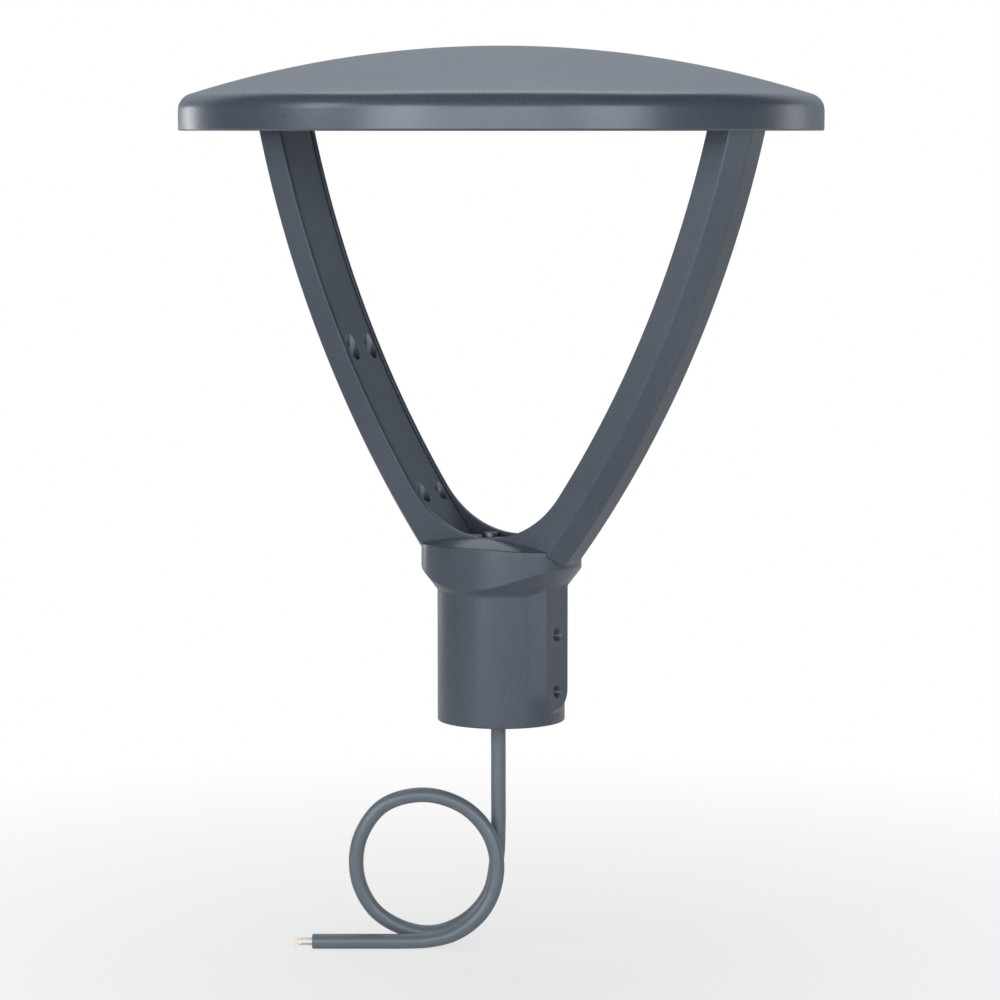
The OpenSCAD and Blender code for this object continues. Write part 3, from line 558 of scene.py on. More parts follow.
def strand_mesh():
    """The strands of both conductors, in one object."""
    points, faces = [], []
    side = np.cross(out_way, upward)
    for shift in (CORE_SHIFT, -CORE_SHIFT):
        start = cord_end + upward * shift + out_way * (CORE_LENGTH - TIP_HIDDEN)
        for strand in range(7):
            lay = 0.0 if strand == 6 else 2.05 * STRAND_R
            path = []
            for i in range(STRAND_STEPS + 1):
                along = (TIP_LENGTH + TIP_HIDDEN) * i / STRAND_STEPS
                angle = math.tau * (strand / 6 + along / STRAND_TWIST)
                path.append(start + out_way * along
                            + lay * (math.cos(angle) * side + math.sin(angle) * upward))
            more, rings = tube_mesh(path, [STRAND_R] * STRAND_STEPS + [STRAND_R * 0.8], 8)
            faces += [[i + len(points) for i in f] for f in rings]
            points += more
    return mesh_object("bare_strands", points, faces, COPPER)


pale_core = core_piece("pale_core", CORE_SHIFT, PALE_SKIN, "core_pale")
brown_core = core_piece("brown_core", -CORE_SHIFT, BROWN_SKIN, "core_brown")
bare_strands = strand_mesh()
even_normals(bare_strands)
settle(bare_strands, "core_tips")


# %% [markdown]
# ## The head's cast shell
# The shell is turned in form: a wide shallow crown, a rounded shoulder and a short upright rim
# with a soft lower edge. Such a piece follows one rule, a profile that goes once round the
# axis, so a small Geometry Nodes tree makes it. The object's own points are the profile; the
# tree lays a grid over profile and turn, reads each profile point by its number, and swings it
# round the axis.

# %% How every geometry tree starts, ends and runs
def geometry_tree(name, inputs):
    tree = bpy.data.node_groups.new(name, "GeometryNodeTree")
    tree.interface.new_socket("Geometry", in_out="INPUT", socket_type="NodeSocketGeometry")
    for socket, kind in inputs:
        tree.interface.new_socket(socket, in_out="INPUT", socket_type=kind)
    tree.interface.new_socket("Geometry", in_out="OUTPUT", socket_type="NodeSocketGeometry")
    return tree, add(tree, "NodeGroupInput"), add(tree, "NodeGroupOutput")


def close_tree(tree, geometry, given, out):
    """Every tree ends in Realize Instances and Set Material."""
    real = add(tree, "GeometryNodeRealizeInstances", {"Geometry": geometry})
    skin = add(tree, "GeometryNodeSetMaterial", {
        "Geometry": real.outputs[0], "Material": given.outputs["Material"]})
    tree.links.new(skin.outputs[0], out.inputs["Geometry"])
    return tree


def socket_id(tree, name):
    return next(i.identifier for i in tree.interface.items_tree
                if i.name == name and i.in_out == "INPUT")


def grow(piece, tree, **values):
    """Runs a tree on a piece with its inputs set, and keeps the plain mesh."""
    made = piece.modifiers.new(tree.name, "NODES")
    made.node_group = tree
    for name, value in values.items():
        made[socket_id(tree, name)] = value
    apply_modifiers(piece)


print("geometry trees can be built and run")


# %% Lathe tree
def lathe_tree():
    tree, given, out = geometry_tree("lathe_form", [
        ("Turns", "NodeSocketInt"), ("Material", "NodeSocketMaterial")])
    size = add(tree, "GeometryNodeAttributeDomainSize", {"Geometry": given.outputs["Geometry"]})
    columns = calc(tree, "ADD", given.outputs["Turns"], 1.0)
    grid = add(tree, "GeometryNodeMeshGrid", {
        "Vertices X": size.outputs["Point Count"], "Vertices Y": columns})
    index = add(tree, "GeometryNodeInputIndex").outputs[0]
    row = calc(tree, "FLOOR", calc(tree, "DIVIDE", index, columns))
    column = calc(tree, "MODULO", index, columns)
    share = calc(tree, "DIVIDE", column, given.outputs["Turns"])
    where = add(tree, "GeometryNodeInputPosition").outputs[0]
    profile = add(tree, "GeometryNodeSampleIndex", data_type="FLOAT_VECTOR")
    tree.links.new(given.outputs["Geometry"], profile.inputs["Geometry"])
    tree.links.new(where, profile.inputs["Value"])
    tree.links.new(row, profile.inputs["Index"])
    swing = add(tree, "ShaderNodeVectorRotate", {
        "Vector": profile.outputs["Value"], "Angle": calc(tree, "MULTIPLY", share, math.tau)},
        rotation_type="Z_AXIS")
    form = add(tree, "GeometryNodeSetPosition", {
        "Geometry": grid.outputs["Mesh"], "Position": swing.outputs[0]})
    welded = add(tree, "GeometryNodeMergeByDistance", {
        "Geometry": form.outputs[0], "Distance": WELD})
    return close_tree(tree, welded.outputs[0], given, out)


LATHE = lathe_tree()


def lathe_piece(name, profile, material, turns):
    """profile: (radius, height) in millimetres, from axis to axis."""
    piece = plain_object(name, [(r, 0, z) for r, z in profile],
                         edges=[(i, i + 1) for i in range(len(profile) - 1)])
    grow(piece, LATHE, Turns=turns, Material=material)
    tidy_mesh(piece.data)
    even_normals(piece)
    return piece


print(LATHE.name, "has", len(LATHE.nodes), "nodes")


# %% Head shell
HEAD_R = 225.0
RIM_Z = 415.0
CROWN_H = 59.0
SHOULDER_R = 12.0
SHOULDER_H = 14.0
SHELL_WALL = 4.0
TRAY_Z = 423.0
SHOULDER_STEPS = 12
shoulder_x = HEAD_R - SHOULDER_R
drop = SHOULDER_H - CROWN_H
crown_r = (shoulder_x ** 2 + drop ** 2 - SHOULDER_R ** 2) / (-2 * drop - 2 * SHOULDER_R)
crown_c = CROWN_H - crown_r
crown_a = math.atan2(shoulder_x, SHOULDER_H - crown_c)


def crown_profile(wall, steps):
    """From the apex over the crown and round the shoulder to the rim's wall."""
    r = crown_r - wall
    made = [(r * math.sin(crown_a * i / steps), crown_c + r * math.cos(crown_a * i / steps))
            for i in range(steps + 1)]
    for i in range(1, SHOULDER_STEPS + 1):
        a = crown_a + (math.pi / 2 - crown_a) * i / SHOULDER_STEPS
        made.append((shoulder_x + (SHOULDER_R - wall) * math.sin(a),
                     SHOULDER_H + (SHOULDER_R - wall) * math.cos(a)))
    return made


outer = crown_profile(0.0, 36)
inner = crown_profile(SHELL_WALL, 24)[::-1]
lip = rounded([(HEAD_R, SHOULDER_H), (HEAD_R, 0), (HEAD_R - SHELL_WALL, 0),
               (HEAD_R - SHELL_WALL, SHOULDER_H - 1)], [0, 1.4, 1.0, 0], 5)
shell_profile = [(0.0, CROWN_H)] + outer[1:] + lip[1:-1] + inner[:-1]
shell_profile.append((0.0, CROWN_H - SHELL_WALL))
head_shell = lathe_piece("head_shell", [(r, z + RIM_Z) for r, z in shell_profile], COAT_HEAD_PAINTED_LIGHT, 192)
settle(head_shell, "canopy")


# %% [markdown]
# ## The yoke
# The yoke is one casting: two arms that curve up and outwards, each with flat sides, a wide
# chamfer and a narrow spine, and an open channel on the inside that the cover strips close.
# Each arm is a piece of a ring about a far centre, and the open curve between the arms ends in
# a smaller arc that is tangent to both. So the casting is a loft: the same closed section is
# laid at many stations along the fork, and every corner of the section follows its own arc.

# %% Bend of the arms
ARM_RI, ARM_RC, ARM_RS = 758.0, 776.0, 785.5
ARM_HALF, SPINE_HALF, LIP_W = 21.0, 8.0, 3.5
CHANNEL_R, CHANNEL_HALF = 762.0, 17.5
FOOT_Z, FLOOR_Z, CURVE_Z = 114.0, 125.0, 130.5
spine_top, spine_foot = (HEAD_R - 12.5, TRAY_Z), (60.1, FOOT_Z)
spine_chord = math.dist(spine_top, spine_foot)
off = math.sqrt(ARM_RS ** 2 - (spine_chord / 2) ** 2) / spine_chord
BEND_X = off * (TRAY_Z - FOOT_Z) - (spine_top[0] + spine_foot[0]) / 2
BEND_Z = (TRAY_Z + FOOT_Z) / 2 + off * (spine_top[0] - spine_foot[0])
print("the arms bend about", round(-BEND_X, 2), round(BEND_Z, 2))
curve_h = BEND_Z - CURVE_Z
curve_r = (ARM_RI ** 2 - BEND_X ** 2 - curve_h ** 2) / (2 * (ARM_RI - curve_h))
curve_c = CURVE_Z + curve_r
meet_angle = math.asin((BEND_Z - curve_c) / math.hypot(BEND_X, BEND_Z - curve_c))
print("the open curve's radius is", round(curve_r, 1), "mm")


# %% Lines of the section's corners
STATIONS = (56, 10, 18)
CURVE_SPLIT = math.radians(38.0)


def blend_list(a, b, steps):
    return [a + (b - a) * i / steps for i in range(steps)]


def on_arm(r, angle):
    return (r * math.cos(angle) - BEND_X, BEND_Z - r * math.sin(angle))


def outer_line(r, low):
    """x, z of one corner from the head down its arc to a level, then in to the middle."""
    top, end = math.asin((BEND_Z - TRAY_Z) / r), math.asin((BEND_Z - low) / r)
    made = [on_arm(r, a) for a in blend_list(top, meet_angle, STATIONS[0])]
    made += [on_arm(r, a) for a in blend_list(meet_angle, end, STATIONS[1])]
    end_x = on_arm(r, end)[0]
    return made + [(x, low) for x in blend_list(end_x, 0.0, STATIONS[2])] + [(0.0, low)]


def inner_line(grow_by):
    """x, z of one corner along the open curve, pushed outwards from it."""
    r, small = ARM_RI + grow_by, curve_r + grow_by
    top = math.asin((BEND_Z - TRAY_Z) / r)
    made = [on_arm(r, a) for a in blend_list(top, meet_angle, STATIONS[0])]
    lean = math.pi / 2 - meet_angle
    angles = blend_list(lean, CURVE_SPLIT, STATIONS[1]) + blend_list(CURVE_SPLIT, 0.0, STATIONS[2])
    return made + [(small * math.sin(a), curve_c - small * math.cos(a)) for a in angles + [0.0]]


half_outer = rounded([(ARM_RS, 0), (ARM_RS, SPINE_HALF), (ARM_RC, ARM_HALF),
                      (ARM_RI + 9, ARM_HALF)], [0, 2.5, 2.5, 0], 5)[:-1]
half_inner = rounded([(9, ARM_HALF), (0, ARM_HALF), (0, ARM_HALF - LIP_W),
                      (3.6, ARM_HALF - LIP_W)], [0, 0.9, 0.6, 0], 4)[1:-1]
lines = [(outer_line(r, FOOT_Z), y) for r, y in half_outer]
lines += [(inner_line(g), y) for g, y in half_inner]
lines.append((outer_line(CHANNEL_R, FLOOR_Z), CHANNEL_HALF))
lines += [(line, -y) for line, y in lines[:0:-1]]
print(len(lines), "corners, each a line of", len(lines[0][0]), "stations")


# %% Yoke
def loft_yoke():
    count = len(lines[0][0])
    points = []
    for s, order in ((1, range(count)), (-1, range(count - 2, -1, -1))):
        for i in order:
            points += [(s * line[i][0], y, line[i][1]) for line, y in lines]
    return points, ring_faces(len(points) // len(lines), len(lines))


yoke_points, yoke_faces = loft_yoke()
yoke_casting = mesh_object("yoke_casting", yoke_points, yoke_faces, COAT)
print("yoke:", len(yoke_points), "points before its pockets are cut")


# %% [markdown]
# ## The cover strips and their screw pockets
# A thin strip closes each arm's channel. Its screws stand upright while the strip leans, so
# each pocket is a drill hole that breaks out of the face as a teardrop. The pocket goes on
# behind the strip, so the same drills also cut the yoke.

# %% Pockets
STRIP_R0, STRIP_R1 = 759.0, 762.0
STRIP_HALF, STRIP_TOP = 16.5, 422.5
POCKET_R, POCKET_DEEP, DRILL_LONG, DRILL_SIDES = 5.0, 4.0, 40.0, 48
SCREW_LEVELS = (260.4, 158.6)
SCREW_SIDE = 10.0
screw_xs = [math.sqrt(STRIP_R0 ** 2 - (BEND_Z - z) ** 2) - BEND_X for z in SCREW_LEVELS]
pocket_spots = [(s * x, y) for s in (-1, 1) for x in screw_xs for y in (-SCREW_SIDE, SCREW_SIDE)]


def pocket_bottom(x):
    lean = abs(x) - POCKET_R + BEND_X
    return BEND_Z - math.sqrt(STRIP_R0 ** 2 - lean ** 2) - POCKET_DEEP


def pocket_drills():
    """One upright drill for each pocket, all in one object."""
    points, faces = [], []
    for x, y in pocket_spots:
        low = pocket_bottom(x)
        faces += ring_faces(2, DRILL_SIDES, len(points))
        points += ring_of(POCKET_R, low, DRILL_SIDES, x, y)
        points += ring_of(POCKET_R, low + DRILL_LONG, DRILL_SIDES, x, y)
    return mesh_object("drills", points, faces, COAT_STRIP_PAINTED_LIGHT)


def cut(piece, cutter):
    made = piece.modifiers.new("cut", "BOOLEAN")
    made.operation = "DIFFERENCE"
    made.solver = "EXACT"
    made.object = cutter
    apply_modifiers(piece)


print(len(pocket_spots), "pockets at x", [round(x, 1) for x in screw_xs])


# %% Strips
STRIP_ROWS = 61


def strip_piece(side):
    section = rounded([(STRIP_R1, -STRIP_HALF), (STRIP_R0, -STRIP_HALF), (STRIP_R0, STRIP_HALF),
                       (STRIP_R1, STRIP_HALF)], [0.2, 0.7, 0.7, 0.2], 4, closed=True)
    points = []
    for i in range(STRIP_ROWS):
        for r, y in section:
            top = math.asin((BEND_Z - STRIP_TOP) / r)
            low = math.asin((BEND_Z - FLOOR_Z) / r)
            x, z = on_arm(r, top + (low - top) * i / (STRIP_ROWS - 1))
            points.append((side * x, y, z))
    name = "cover_strip_right" if side > 0 else "cover_strip_left"
    return mesh_object(name, points, ring_faces(STRIP_ROWS, len(section)), COAT_STRIP_PAINTED_LIGHT)


drills = pocket_drills()
cut(yoke_casting, drills)
tidy_mesh(yoke_casting.data)
even_normals(yoke_casting)
settle(yoke_casting, "yoke")
for side, node in ((1, "arm_cover_right"), (-1, "arm_cover_left")):
    strip = strip_piece(side)
    cut(strip, drills)
    tidy_mesh(strip.data)
    even_normals(strip)
    settle(strip, node)
bpy.data.objects.remove(drills)


# %% [markdown]
# ## The collar and sleeve
# This casting is a sleeve for the pole that widens into an oval collar with a domed top. A flat
# rib on one side holds two set screws. Seen from the axis, every point of the outside is at
# one distance for each direction and height, so the form is a rule again: the larger of
# the collar and the rib, softly blended, where the collar is the smaller of its oval wall and
# its taper. The rows follow the edges, and the yoke's pocket and the threads are cut out after.

# %% Sizes of the collar and soft edges
SLEEVE_R, BORE_R = 45.0, 40.0
TAPER_Z, TAPER_RISE = 93.0, 1.3
OVAL_A, OVAL_B, OVAL_END_R = 59.3, 47.5, 44.0
DOME_R, DOME_Z = 250.0, 131.0
RIB_X, RIB_HALF = 48.2, 12.8
SET_Z = (24.0, 64.0)
STOP_R, STOP_Z = 34.0, 77.0
LEAD_R, LEAD_Z = 8.2, 80.0
end_x = OVAL_A - OVAL_END_R
side_r = (OVAL_END_R ** 2 - end_x ** 2 - OVAL_B ** 2) / (2 * (OVAL_END_R - OVAL_B))
switch_x = end_x * side_r / (side_r - OVAL_END_R)
EDGE_SOFT, FILLET_SOFT, TOP_ROUND = 0.35, 0.6, 1.0


def soft_max(a, b, soft):
    near = np.maximum(soft - np.abs(a - b), 0) / soft
    return np.maximum(a, b) + near * near * soft / 4


def soft_min(a, b, soft):
    return -soft_max(-a, -b, soft)


print("the oval's long sides have a radius of", round(abs(side_r), 1), "mm")


# %% Oval, rib and dome
def oval_radius(angle):
    """Distance from the axis to the oval in one direction."""
    c, s = abs(math.cos(angle)), abs(math.sin(angle))
    end = end_x * c + math.sqrt(OVAL_END_R ** 2 - (end_x * s) ** 2)
    if end * c >= switch_x:
        return end
    low = side_r - OVAL_B
    return -low * s + math.sqrt(side_r ** 2 - (low * c) ** 2)


def rib_radius(angle, z):
    """Distance to the rib with its rounded lower end, or nothing beside it."""
    c, s = math.cos(angle), abs(math.sin(angle))
    if c < 0.5:
        return 0.0
    d = max(SET_Z[0] - z, 0.0)
    reach = RIB_X + RIB_HALF
    low, high = 0.0, 80.0
    for _ in range(40):
        middle = (low + high) / 2
        if math.hypot(middle * s, d) + middle * c < reach:
            low = middle
        else:
            high = middle
    return float(soft_min(np.array(low), np.array(RIB_X / c), EDGE_SOFT))


def dome_height(radius):
    return DOME_Z - DOME_R + math.sqrt(DOME_R ** 2 - radius ** 2)


print("the dome rises", round(dome_height(0) - dome_height(OVAL_A), 1), "mm")


# %% [markdown]
# A flat flank beside a round wall shows every wrong column of points as a crooked edge. So the
# columns stand close where the rib is, three of them stand right at each of its edges, and the
# levels stand close where the taper meets the sleeve and the oval.

# %% Collar and sleeve
rib_edge = math.degrees(math.atan2(RIB_HALF, RIB_X))
rib_foot = math.degrees(math.asin((RIB_X + RIB_HALF) / SLEEVE_R / math.sqrt(2))) - 45
turn_degrees = [side * (edge + step) for side in (-1, 1) for edge in (rib_edge, rib_foot)
                for step in (-0.3, 0.0, 0.3)]
turn_degrees += [a for a in np.arange(-33, 33.01, 0.75)
                 if min(abs(abs(a) - rib_edge), abs(abs(a) - rib_foot)) > 0.4]
turn_steps = np.radians(sorted(turn_degrees) + list(np.arange(35.25, 324.76, 2.25)))


def collar_column(angle):
    """Outside of the casting in one direction, from the mouth up and over the dome."""
    oval = oval_radius(angle)
    edge = TAPER_Z + TAPER_RISE * (oval - SLEEVE_R)
    top = dome_height(oval)
    levels = [1.2]
    for level, count in ((SET_Z[0], 36), (TAPER_Z - 3, 16), (TAPER_Z + 2, 11), (edge - 1.0, 7),
                         (edge + 1.0, 9), (top - TOP_ROUND, 6)):
        levels += list(np.linspace(levels[-1], level, count)[1:])
    column = [(SLEEVE_R - 0.9, 0.0), (SLEEVE_R - 0.4, 0.12), (SLEEVE_R - 0.1, 0.45)]
    for z in levels:
        taper = SLEEVE_R + (z - TAPER_Z) / TAPER_RISE
        collar = float(soft_min(soft_max(np.array(SLEEVE_R), np.array(taper), FILLET_SOFT),
                                np.array(oval), EDGE_SOFT))
        rib = np.array(rib_radius(angle, z))
        column.append((float(soft_max(np.array(collar), rib, FILLET_SOFT)), z))
    for i in range(1, 6):
        a = math.pi / 2 * i / 5
        radius = oval - TOP_ROUND * (1 - math.cos(a))
        column.append((radius, min(top - TOP_ROUND * (1 - math.sin(a)), dome_height(radius))))
    column += [(r, dome_height(r)) for r in np.linspace(oval - TOP_ROUND, 12, 9)[1:]]
    return column


def collar_mesh():
    """The bore, the pole's stop and the lead's hole, and then the outside, in every direction."""
    mouth = [(BORE_R + 1.2, 0.0), (BORE_R, 1.2), (BORE_R, 30.0), (BORE_R, STOP_Z),
             (STOP_R, STOP_Z), (STOP_R, LEAD_Z), (LEAD_R, LEAD_Z), (LEAD_R, LEAD_Z + 6.0)]
    columns = [mouth[::-1] + collar_column(a) for a in turn_steps]
    rows = len(columns[0])
    points = [(r * math.cos(a), r * math.sin(a), z)
              for a, column in zip(turn_steps, columns) for r, z in column]
    faces, count = [], len(columns)
    for i in range(count):
        n = (i + 1) % count
        faces += [(i * rows + k, n * rows + k, n * rows + k + 1, i * rows + k + 1)
                  for k in range(rows - 1)]
    faces += [[i * rows for i in range(count)][::-1], [i * rows + rows - 1 for i in range(count)]]
    return mesh_object("collar_sleeve", points, faces, COAT)


collar_sleeve = collar_mesh()
print("collar:", len(turn_steps), "columns")


# %% [markdown]
# Two things are cut out of the casting: the pocket that takes the yoke's foot, and the two
# tapped holes. A tapped hole is a tube whose radius rises and falls with the turn, so the cut
# leaves a real helical thread.

# %% Foot pocket and threads
FOOT_GAP = 0.5
HOLE_R, CORE_THREAD_R, THREAD_START = 4.0, 3.4, 33.0
MOUTH_SOFT = 0.8
FINE_CREASE = 30.0


def pocket_cutter():
    """The yoke's foot, a little larger all round, as a stack of plan outlines."""
    points, levels = [], np.linspace(FOOT_Z, 142, 9)
    for z in levels:
        (xs, ys), (xc, yc) = [
            (math.sqrt((r + FOOT_GAP) ** 2 - (BEND_Z - z) ** 2) - BEND_X, y + FOOT_GAP)
            for r, y in ((ARM_RS, SPINE_HALF), (ARM_RC, ARM_HALF))]
        points += [(xs, -ys, z), (xs, ys, z), (xc, yc, z), (-xc, yc, z), (-xs, ys, z),
                   (-xs, -ys, z), (-xc, -yc, z), (xc, -yc, z)]
    return mesh_object("pocket_cutter", points, ring_faces(len(levels), 8), COAT)


def thread_cutter(z, pitch=1.25, sides=24, per_pitch=8):
    """A tapped hole along X, with a helical thread and a small chamfer at its mouth."""
    start, end = THREAD_START, RIB_X + 1.0
    count = int((end - start) / pitch * per_pitch)
    points = []
    for i in range(count + 1):
        x = start + (end - start) * i / count
        for k in range(sides):
            a = math.tau * k / sides
            wave = ((x - start) / pitch - k / sides) % 1.0
            tooth = abs(2 * wave - 1)
            flank = min(max(1.25 * tooth - 0.1, 0), 1)
            radius = CORE_THREAD_R + (HOLE_R - CORE_THREAD_R) * flank
            radius = max(radius, HOLE_R + (x - RIB_X + MOUTH_SOFT))
            points.append((x, radius * math.cos(a), z + radius * math.sin(a)))
    return mesh_object(f"thread_cutter_{int(z)}", points, ring_faces(count + 1, sides), COAT)


for cutter in [pocket_cutter()] + [thread_cutter(z) for z in SET_Z]:
    cut(collar_sleeve, cutter)
    bpy.data.objects.remove(cutter)
tidy_mesh(collar_sleeve.data, FINE_CREASE)
even_normals(collar_sleeve)
settle(collar_sleeve, "spigot")


# %% [markdown]
# ## Screws
# All screws are socket screws of a few sizes. One screw is modelled once for each size: a head
# with a rounded edge, a six-sided socket with a coned floor, and the top of its shank. Then a
# Geometry Nodes tree puts a copy on every place.

# %% Form of a screw
SCREW_SIDES = 24


def hexagon(radius, z):
    """A six-sided outline with as many points as the round rings have."""
    made = []
    for k in range(SCREW_SIDES):
        a = math.tau * k / SCREW_SIDES
        spread = (a + math.pi / 6) % (math.pi / 3) - math.pi / 6
        r = radius * math.cos(math.pi / 6) / math.cos(spread)
        made.append((r * math.cos(a), r * math.sin(a), z))
    return made


def screw_form(head_r, head_h, shank_r, length, socket_r, material):
    edge, floor_z = min(0.5, head_h * 0.25), head_h * 0.45
    rings = [(shank_r, -length), (shank_r, 0), (head_r - 0.15, 0), (head_r, 0.15),
             (head_r, head_h - edge), (head_r - edge * 0.3, head_h - edge * 0.3),
             (head_r - edge, head_h)]
    rows = [ring_of(r, z, SCREW_SIDES) for r, z in rings]
    rows += [hexagon(socket_r + 0.25, head_h), hexagon(socket_r, head_h - 0.25),
             hexagon(socket_r, floor_z)]
    points = [p for row in rows for p in row] + [(0, 0, floor_z - socket_r * 0.35)]
    last = (len(rows) - 1) * SCREW_SIDES
    faces = ring_faces(len(rows), SCREW_SIDES)[:-1]
    faces += [(last + k, last + (k + 1) % SCREW_SIDES, len(points) - 1)
              for k in range(SCREW_SIDES)]
    return mesh_object("screw_form", points, faces, material)


print("a screw has", SCREW_SIDES, "sides")


# %% The tree that places copies
def place_tree():
    tree, given, out = geometry_tree("placed_copies", [
        ("Form", "NodeSocketObject"), ("Turn", "NodeSocketRotation"),
        ("Material", "NodeSocketMaterial")])
    form = add(tree, "GeometryNodeObjectInfo", {"Object": given.outputs["Form"]})
    dots = add(tree, "GeometryNodeMeshToPoints", {"Mesh": given.outputs["Geometry"]})
    copies = add(tree, "GeometryNodeInstanceOnPoints", {
        "Points": dots.outputs[0], "Instance": form.outputs["Geometry"],
        "Rotation": given.outputs["Turn"]})
    return close_tree(tree, copies.outputs[0], given, out)


PLACE = place_tree()


def placed(name, node, spots, sizes, material, turn=(0.0, 0.0, 0.0)):
    """sizes: the head's radius and height, the shank's radius and length, the socket's radius."""
    form = screw_form(*sizes, material)
    piece = plain_object(name, spots)
    grow(piece, PLACE, Form=form, Turn=turn, Material=material)
    tidy_mesh(piece.data, FINE_CREASE)
    settle(piece, node)
    bpy.data.objects.remove(form)


def ring_spots(count, radius, z):
    return [(radius * math.cos(math.tau * (i + 0.5) / count),
             radius * math.sin(math.tau * (i + 0.5) / count), z) for i in range(count)]


print(PLACE.name, "has", len(PLACE.nodes), "nodes")


# %% Screws and bolts
UPSIDE_DOWN = (math.pi, 0.0, 0.0)
pocket_floors = [(x, y, pocket_bottom(x)) for x, y in pocket_spots]
foot_spots = [(x, y, FLOOR_Z + 1.0) for x in (-16.0, 16.0) for y in (-9.5, 9.5)]
placed("strip_screws", "cover_screws", pocket_floors, (4.25, 4.0, 2.4, 6.0, 2.2), POCKET_SHADE_STEEL)
placed("foot_bolts", "base_bolts", foot_spots, (5.0, 5.0, 2.9, 8.0, 2.6), DULL_STEEL_PAINTED_SHADE)
placed("rim_screws", "tray_screws", ring_spots(6, 203.0, TRAY_Z), (4.6, 3.6, 2.4, 6.0, 2.3),
       STEEL, UPSIDE_DOWN)
placed("window_screws", "frame_screws", ring_spots(8, 141.5, 417.0), (3.6, 1.6, 1.9, 5.0, 1.4),
       STEEL, UPSIDE_DOWN)


# %% [markdown]
# ## The cap on the fork's floor
# A round cap sits between the four foot bolts. It is a turned form again, so the lathe tree
# makes it, with softer edges than the solid has.

# %% Base cap
cap_profile = rounded([(0, -4.5), (2.4, -4.5), (2.4, 0), (11.5, 0), (11.5, 2.5), (6, 2.5),
                       (6, 4), (0, 4)], [0, 0, 0, 0.2, 0.7, 0.4, 0.5, 0], 4)
foot_cap = lathe_piece("foot_cap", [(r, z + FLOOR_Z) for r, z in cap_profile], COAT, 48)
settle(foot_cap, "base_cap")


# %% [markdown]
# ## Floor, backdrop and light
# The photograph has a plain white ground. A pale floor lies just under the cord and turns to
# pure white away from the object, so that only a soft shadow is left. From below the floor is
# clear, because the head's window is worth a look from there.

# %% Stage
FLOOR_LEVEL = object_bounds()[0].z - 0.0005


def seen_rays(tree, glossy=1.0):
    """1 for rays from the camera or through glass, and a share for mirrored ones."""
    path = add(tree, "ShaderNodeLightPath")
    direct = calc(tree, "ADD", path.outputs["Is Camera Ray"], path.outputs["Is Transmission Ray"])
    return calc(tree, "MULTIPLY_ADD", path.outputs["Is Glossy Ray"], glossy, direct,
                use_clamp=True)


def floor_finish():
    made, tree, shader, place = new_material("pale_floor")
    shader.inputs["Base Color"].default_value = (0.9, 0.9, 0.9, 1)
    shader.inputs["Roughness"].default_value = 0.9
    shader.inputs["Specular IOR Level"].default_value = 0.0
    distance = add(tree, "ShaderNodeVectorMath", {0: place}, operation="LENGTH")
    fade = remap(tree, distance.outputs["Value"], 0.2, 0.8, 0.68, 1.0)
    share = calc(tree, "MULTIPLY", fade, seen_rays(tree, 0.35))
    white = add(tree, "ShaderNodeEmission", {"Color": (1, 1, 1, 1), "Strength": 1.0})
    top = blend(tree, share, shader.outputs[0], white.outputs[0])
    side = add(tree, "ShaderNodeNewGeometry").outputs["Backfacing"]
    clear = add(tree, "ShaderNodeBsdfTransparent").outputs[0]
    tree.links.new(blend(tree, side, top, clear), tree.nodes["Material Output"].inputs["Surface"])
    return made


FLOOR_REACH = 12.0
corners = [(x * FLOOR_REACH / MM, y * FLOOR_REACH / MM, FLOOR_LEVEL / MM)
           for x, y in ((-1, -1), (1, -1), (1, 1), (-1, 1))]
floor = plain_object("floor", corners, faces=[(0, 1, 2, 3)])
floor.data.materials.append(floor_finish())
print("floor at", round(FLOOR_LEVEL, 4))


# %% [markdown]
# The crown is evenly pale in the photograph, because it mirrors a white wall behind the object
# at a grazing angle. So the world is a dim room for most rays, white for the camera's own rays,
# and a cool pale wall for mirrored rays that go up behind the object.

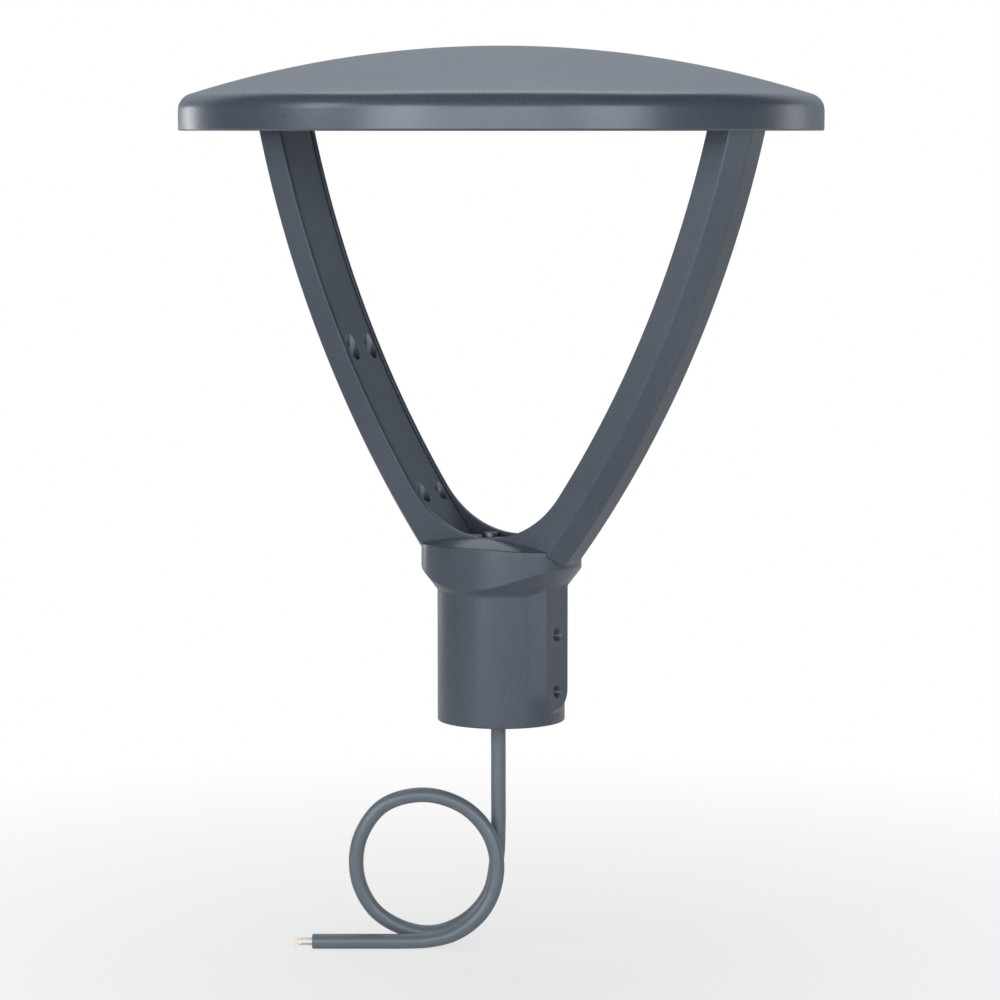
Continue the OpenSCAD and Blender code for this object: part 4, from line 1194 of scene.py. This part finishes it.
# %% World
def studio_world():
    world = bpy.data.worlds.new("studio")
    bpy.context.scene.world = world
    world.use_nodes = True
    tree = world.node_tree
    room = tree.nodes["Background"]
    room.inputs["Color"].default_value = (0.93, 0.96, 1.0, 1)
    room.inputs["Strength"].default_value = 0.10
    white = add(tree, "ShaderNodeBackground", {"Color": (1, 1, 1, 1), "Strength": 1.0})
    way = add(tree, "ShaderNodeTexCoord").outputs["Generated"]
    behind = add(tree, "ShaderNodeVectorMath", {0: way, 1: tuple(toward)}, operation="DOT_PRODUCT")
    wall = remap(tree, behind.outputs["Value"], 0.52, 0.72, interpolation_type="SMOOTHSTEP")
    height = add(tree, "ShaderNodeSeparateXYZ", {"Vector": way}).outputs["Z"]
    pale = calc(tree, "MULTIPLY", wall, remap(tree, height, 0.08, 0.5, 0.38, 1.0))
    glossy = add(tree, "ShaderNodeLightPath").outputs["Is Glossy Ray"]
    cool = add(tree, "ShaderNodeBackground", {"Color": (0.82, 0.90, 1.0, 1), "Strength": 1.0})
    inner = blend(tree, calc(tree, "MULTIPLY", glossy, pale), room.outputs[0], cool.outputs[0])
    mix = blend(tree, seen_rays(tree, 0.0), inner, white.outputs[0])
    tree.links.new(mix, tree.nodes["World Output"].inputs["Surface"])


studio_world()
print("world:", bpy.context.scene.world.name)


# %% [markdown]
# The coat tells where the lights stood. The rim is bright in its middle and dark beyond, so
# three low soft lights stand beside each other on the camera's side. A tall one far to the left
# lights the faces that look that way, two weak ones catch the edges at the back, and a high one
# behind lights the crown and leaves the shoulder's front dark.

# %% Lamps
AIM_HEIGHT = 0.2


def soft_light(name, turn, distance, height, size, power):
    """A tall or wide light, placed by its turn from the camera's own side, in degrees."""
    data = bpy.data.lights.new(name, "AREA")
    data.shape = "RECTANGLE"
    data.size, data.size_y = size
    data.energy = power
    lamp = bpy.data.objects.new(name, data)
    a = VIEW_TURN + math.radians(turn)
    lamp.location = (math.sin(a) * distance, -math.cos(a) * distance, height)
    aim = Vector((0, 0, AIM_HEIGHT)) - lamp.location
    lamp.rotation_euler = aim.to_track_quat("-Z", "Y").to_euler()
    lamp.visible_camera = False
    bpy.context.scene.collection.objects.link(lamp)


lamps = [("front_middle", 0, 2.7, 0.55, (2.0, 0.8), 19),
         ("front_left", -34, 2.7, 0.62, (1.1, 1.1), 20),
         ("front_right", 37, 2.7, 0.62, (1.2, 1.0), 17),
         ("far_left", -65, 2.7, 1.1, (0.8, 1.3), 14),
         ("back_left", -140, 2.8, 0.2, (0.4, 1.0), 6),
         ("back_right", 120, 2.8, 0.5, (0.8, 1.2), 5),
         ("high_back", 180, 0.95, 2.3, (1.9, 1.2), 16)]
for lamp_row in lamps:
    soft_light(*lamp_row)
bpy.context.scene.view_settings.view_transform = "Standard"
print(len(lamps), "lamps,", sum(row[-1] for row in lamps), "W")
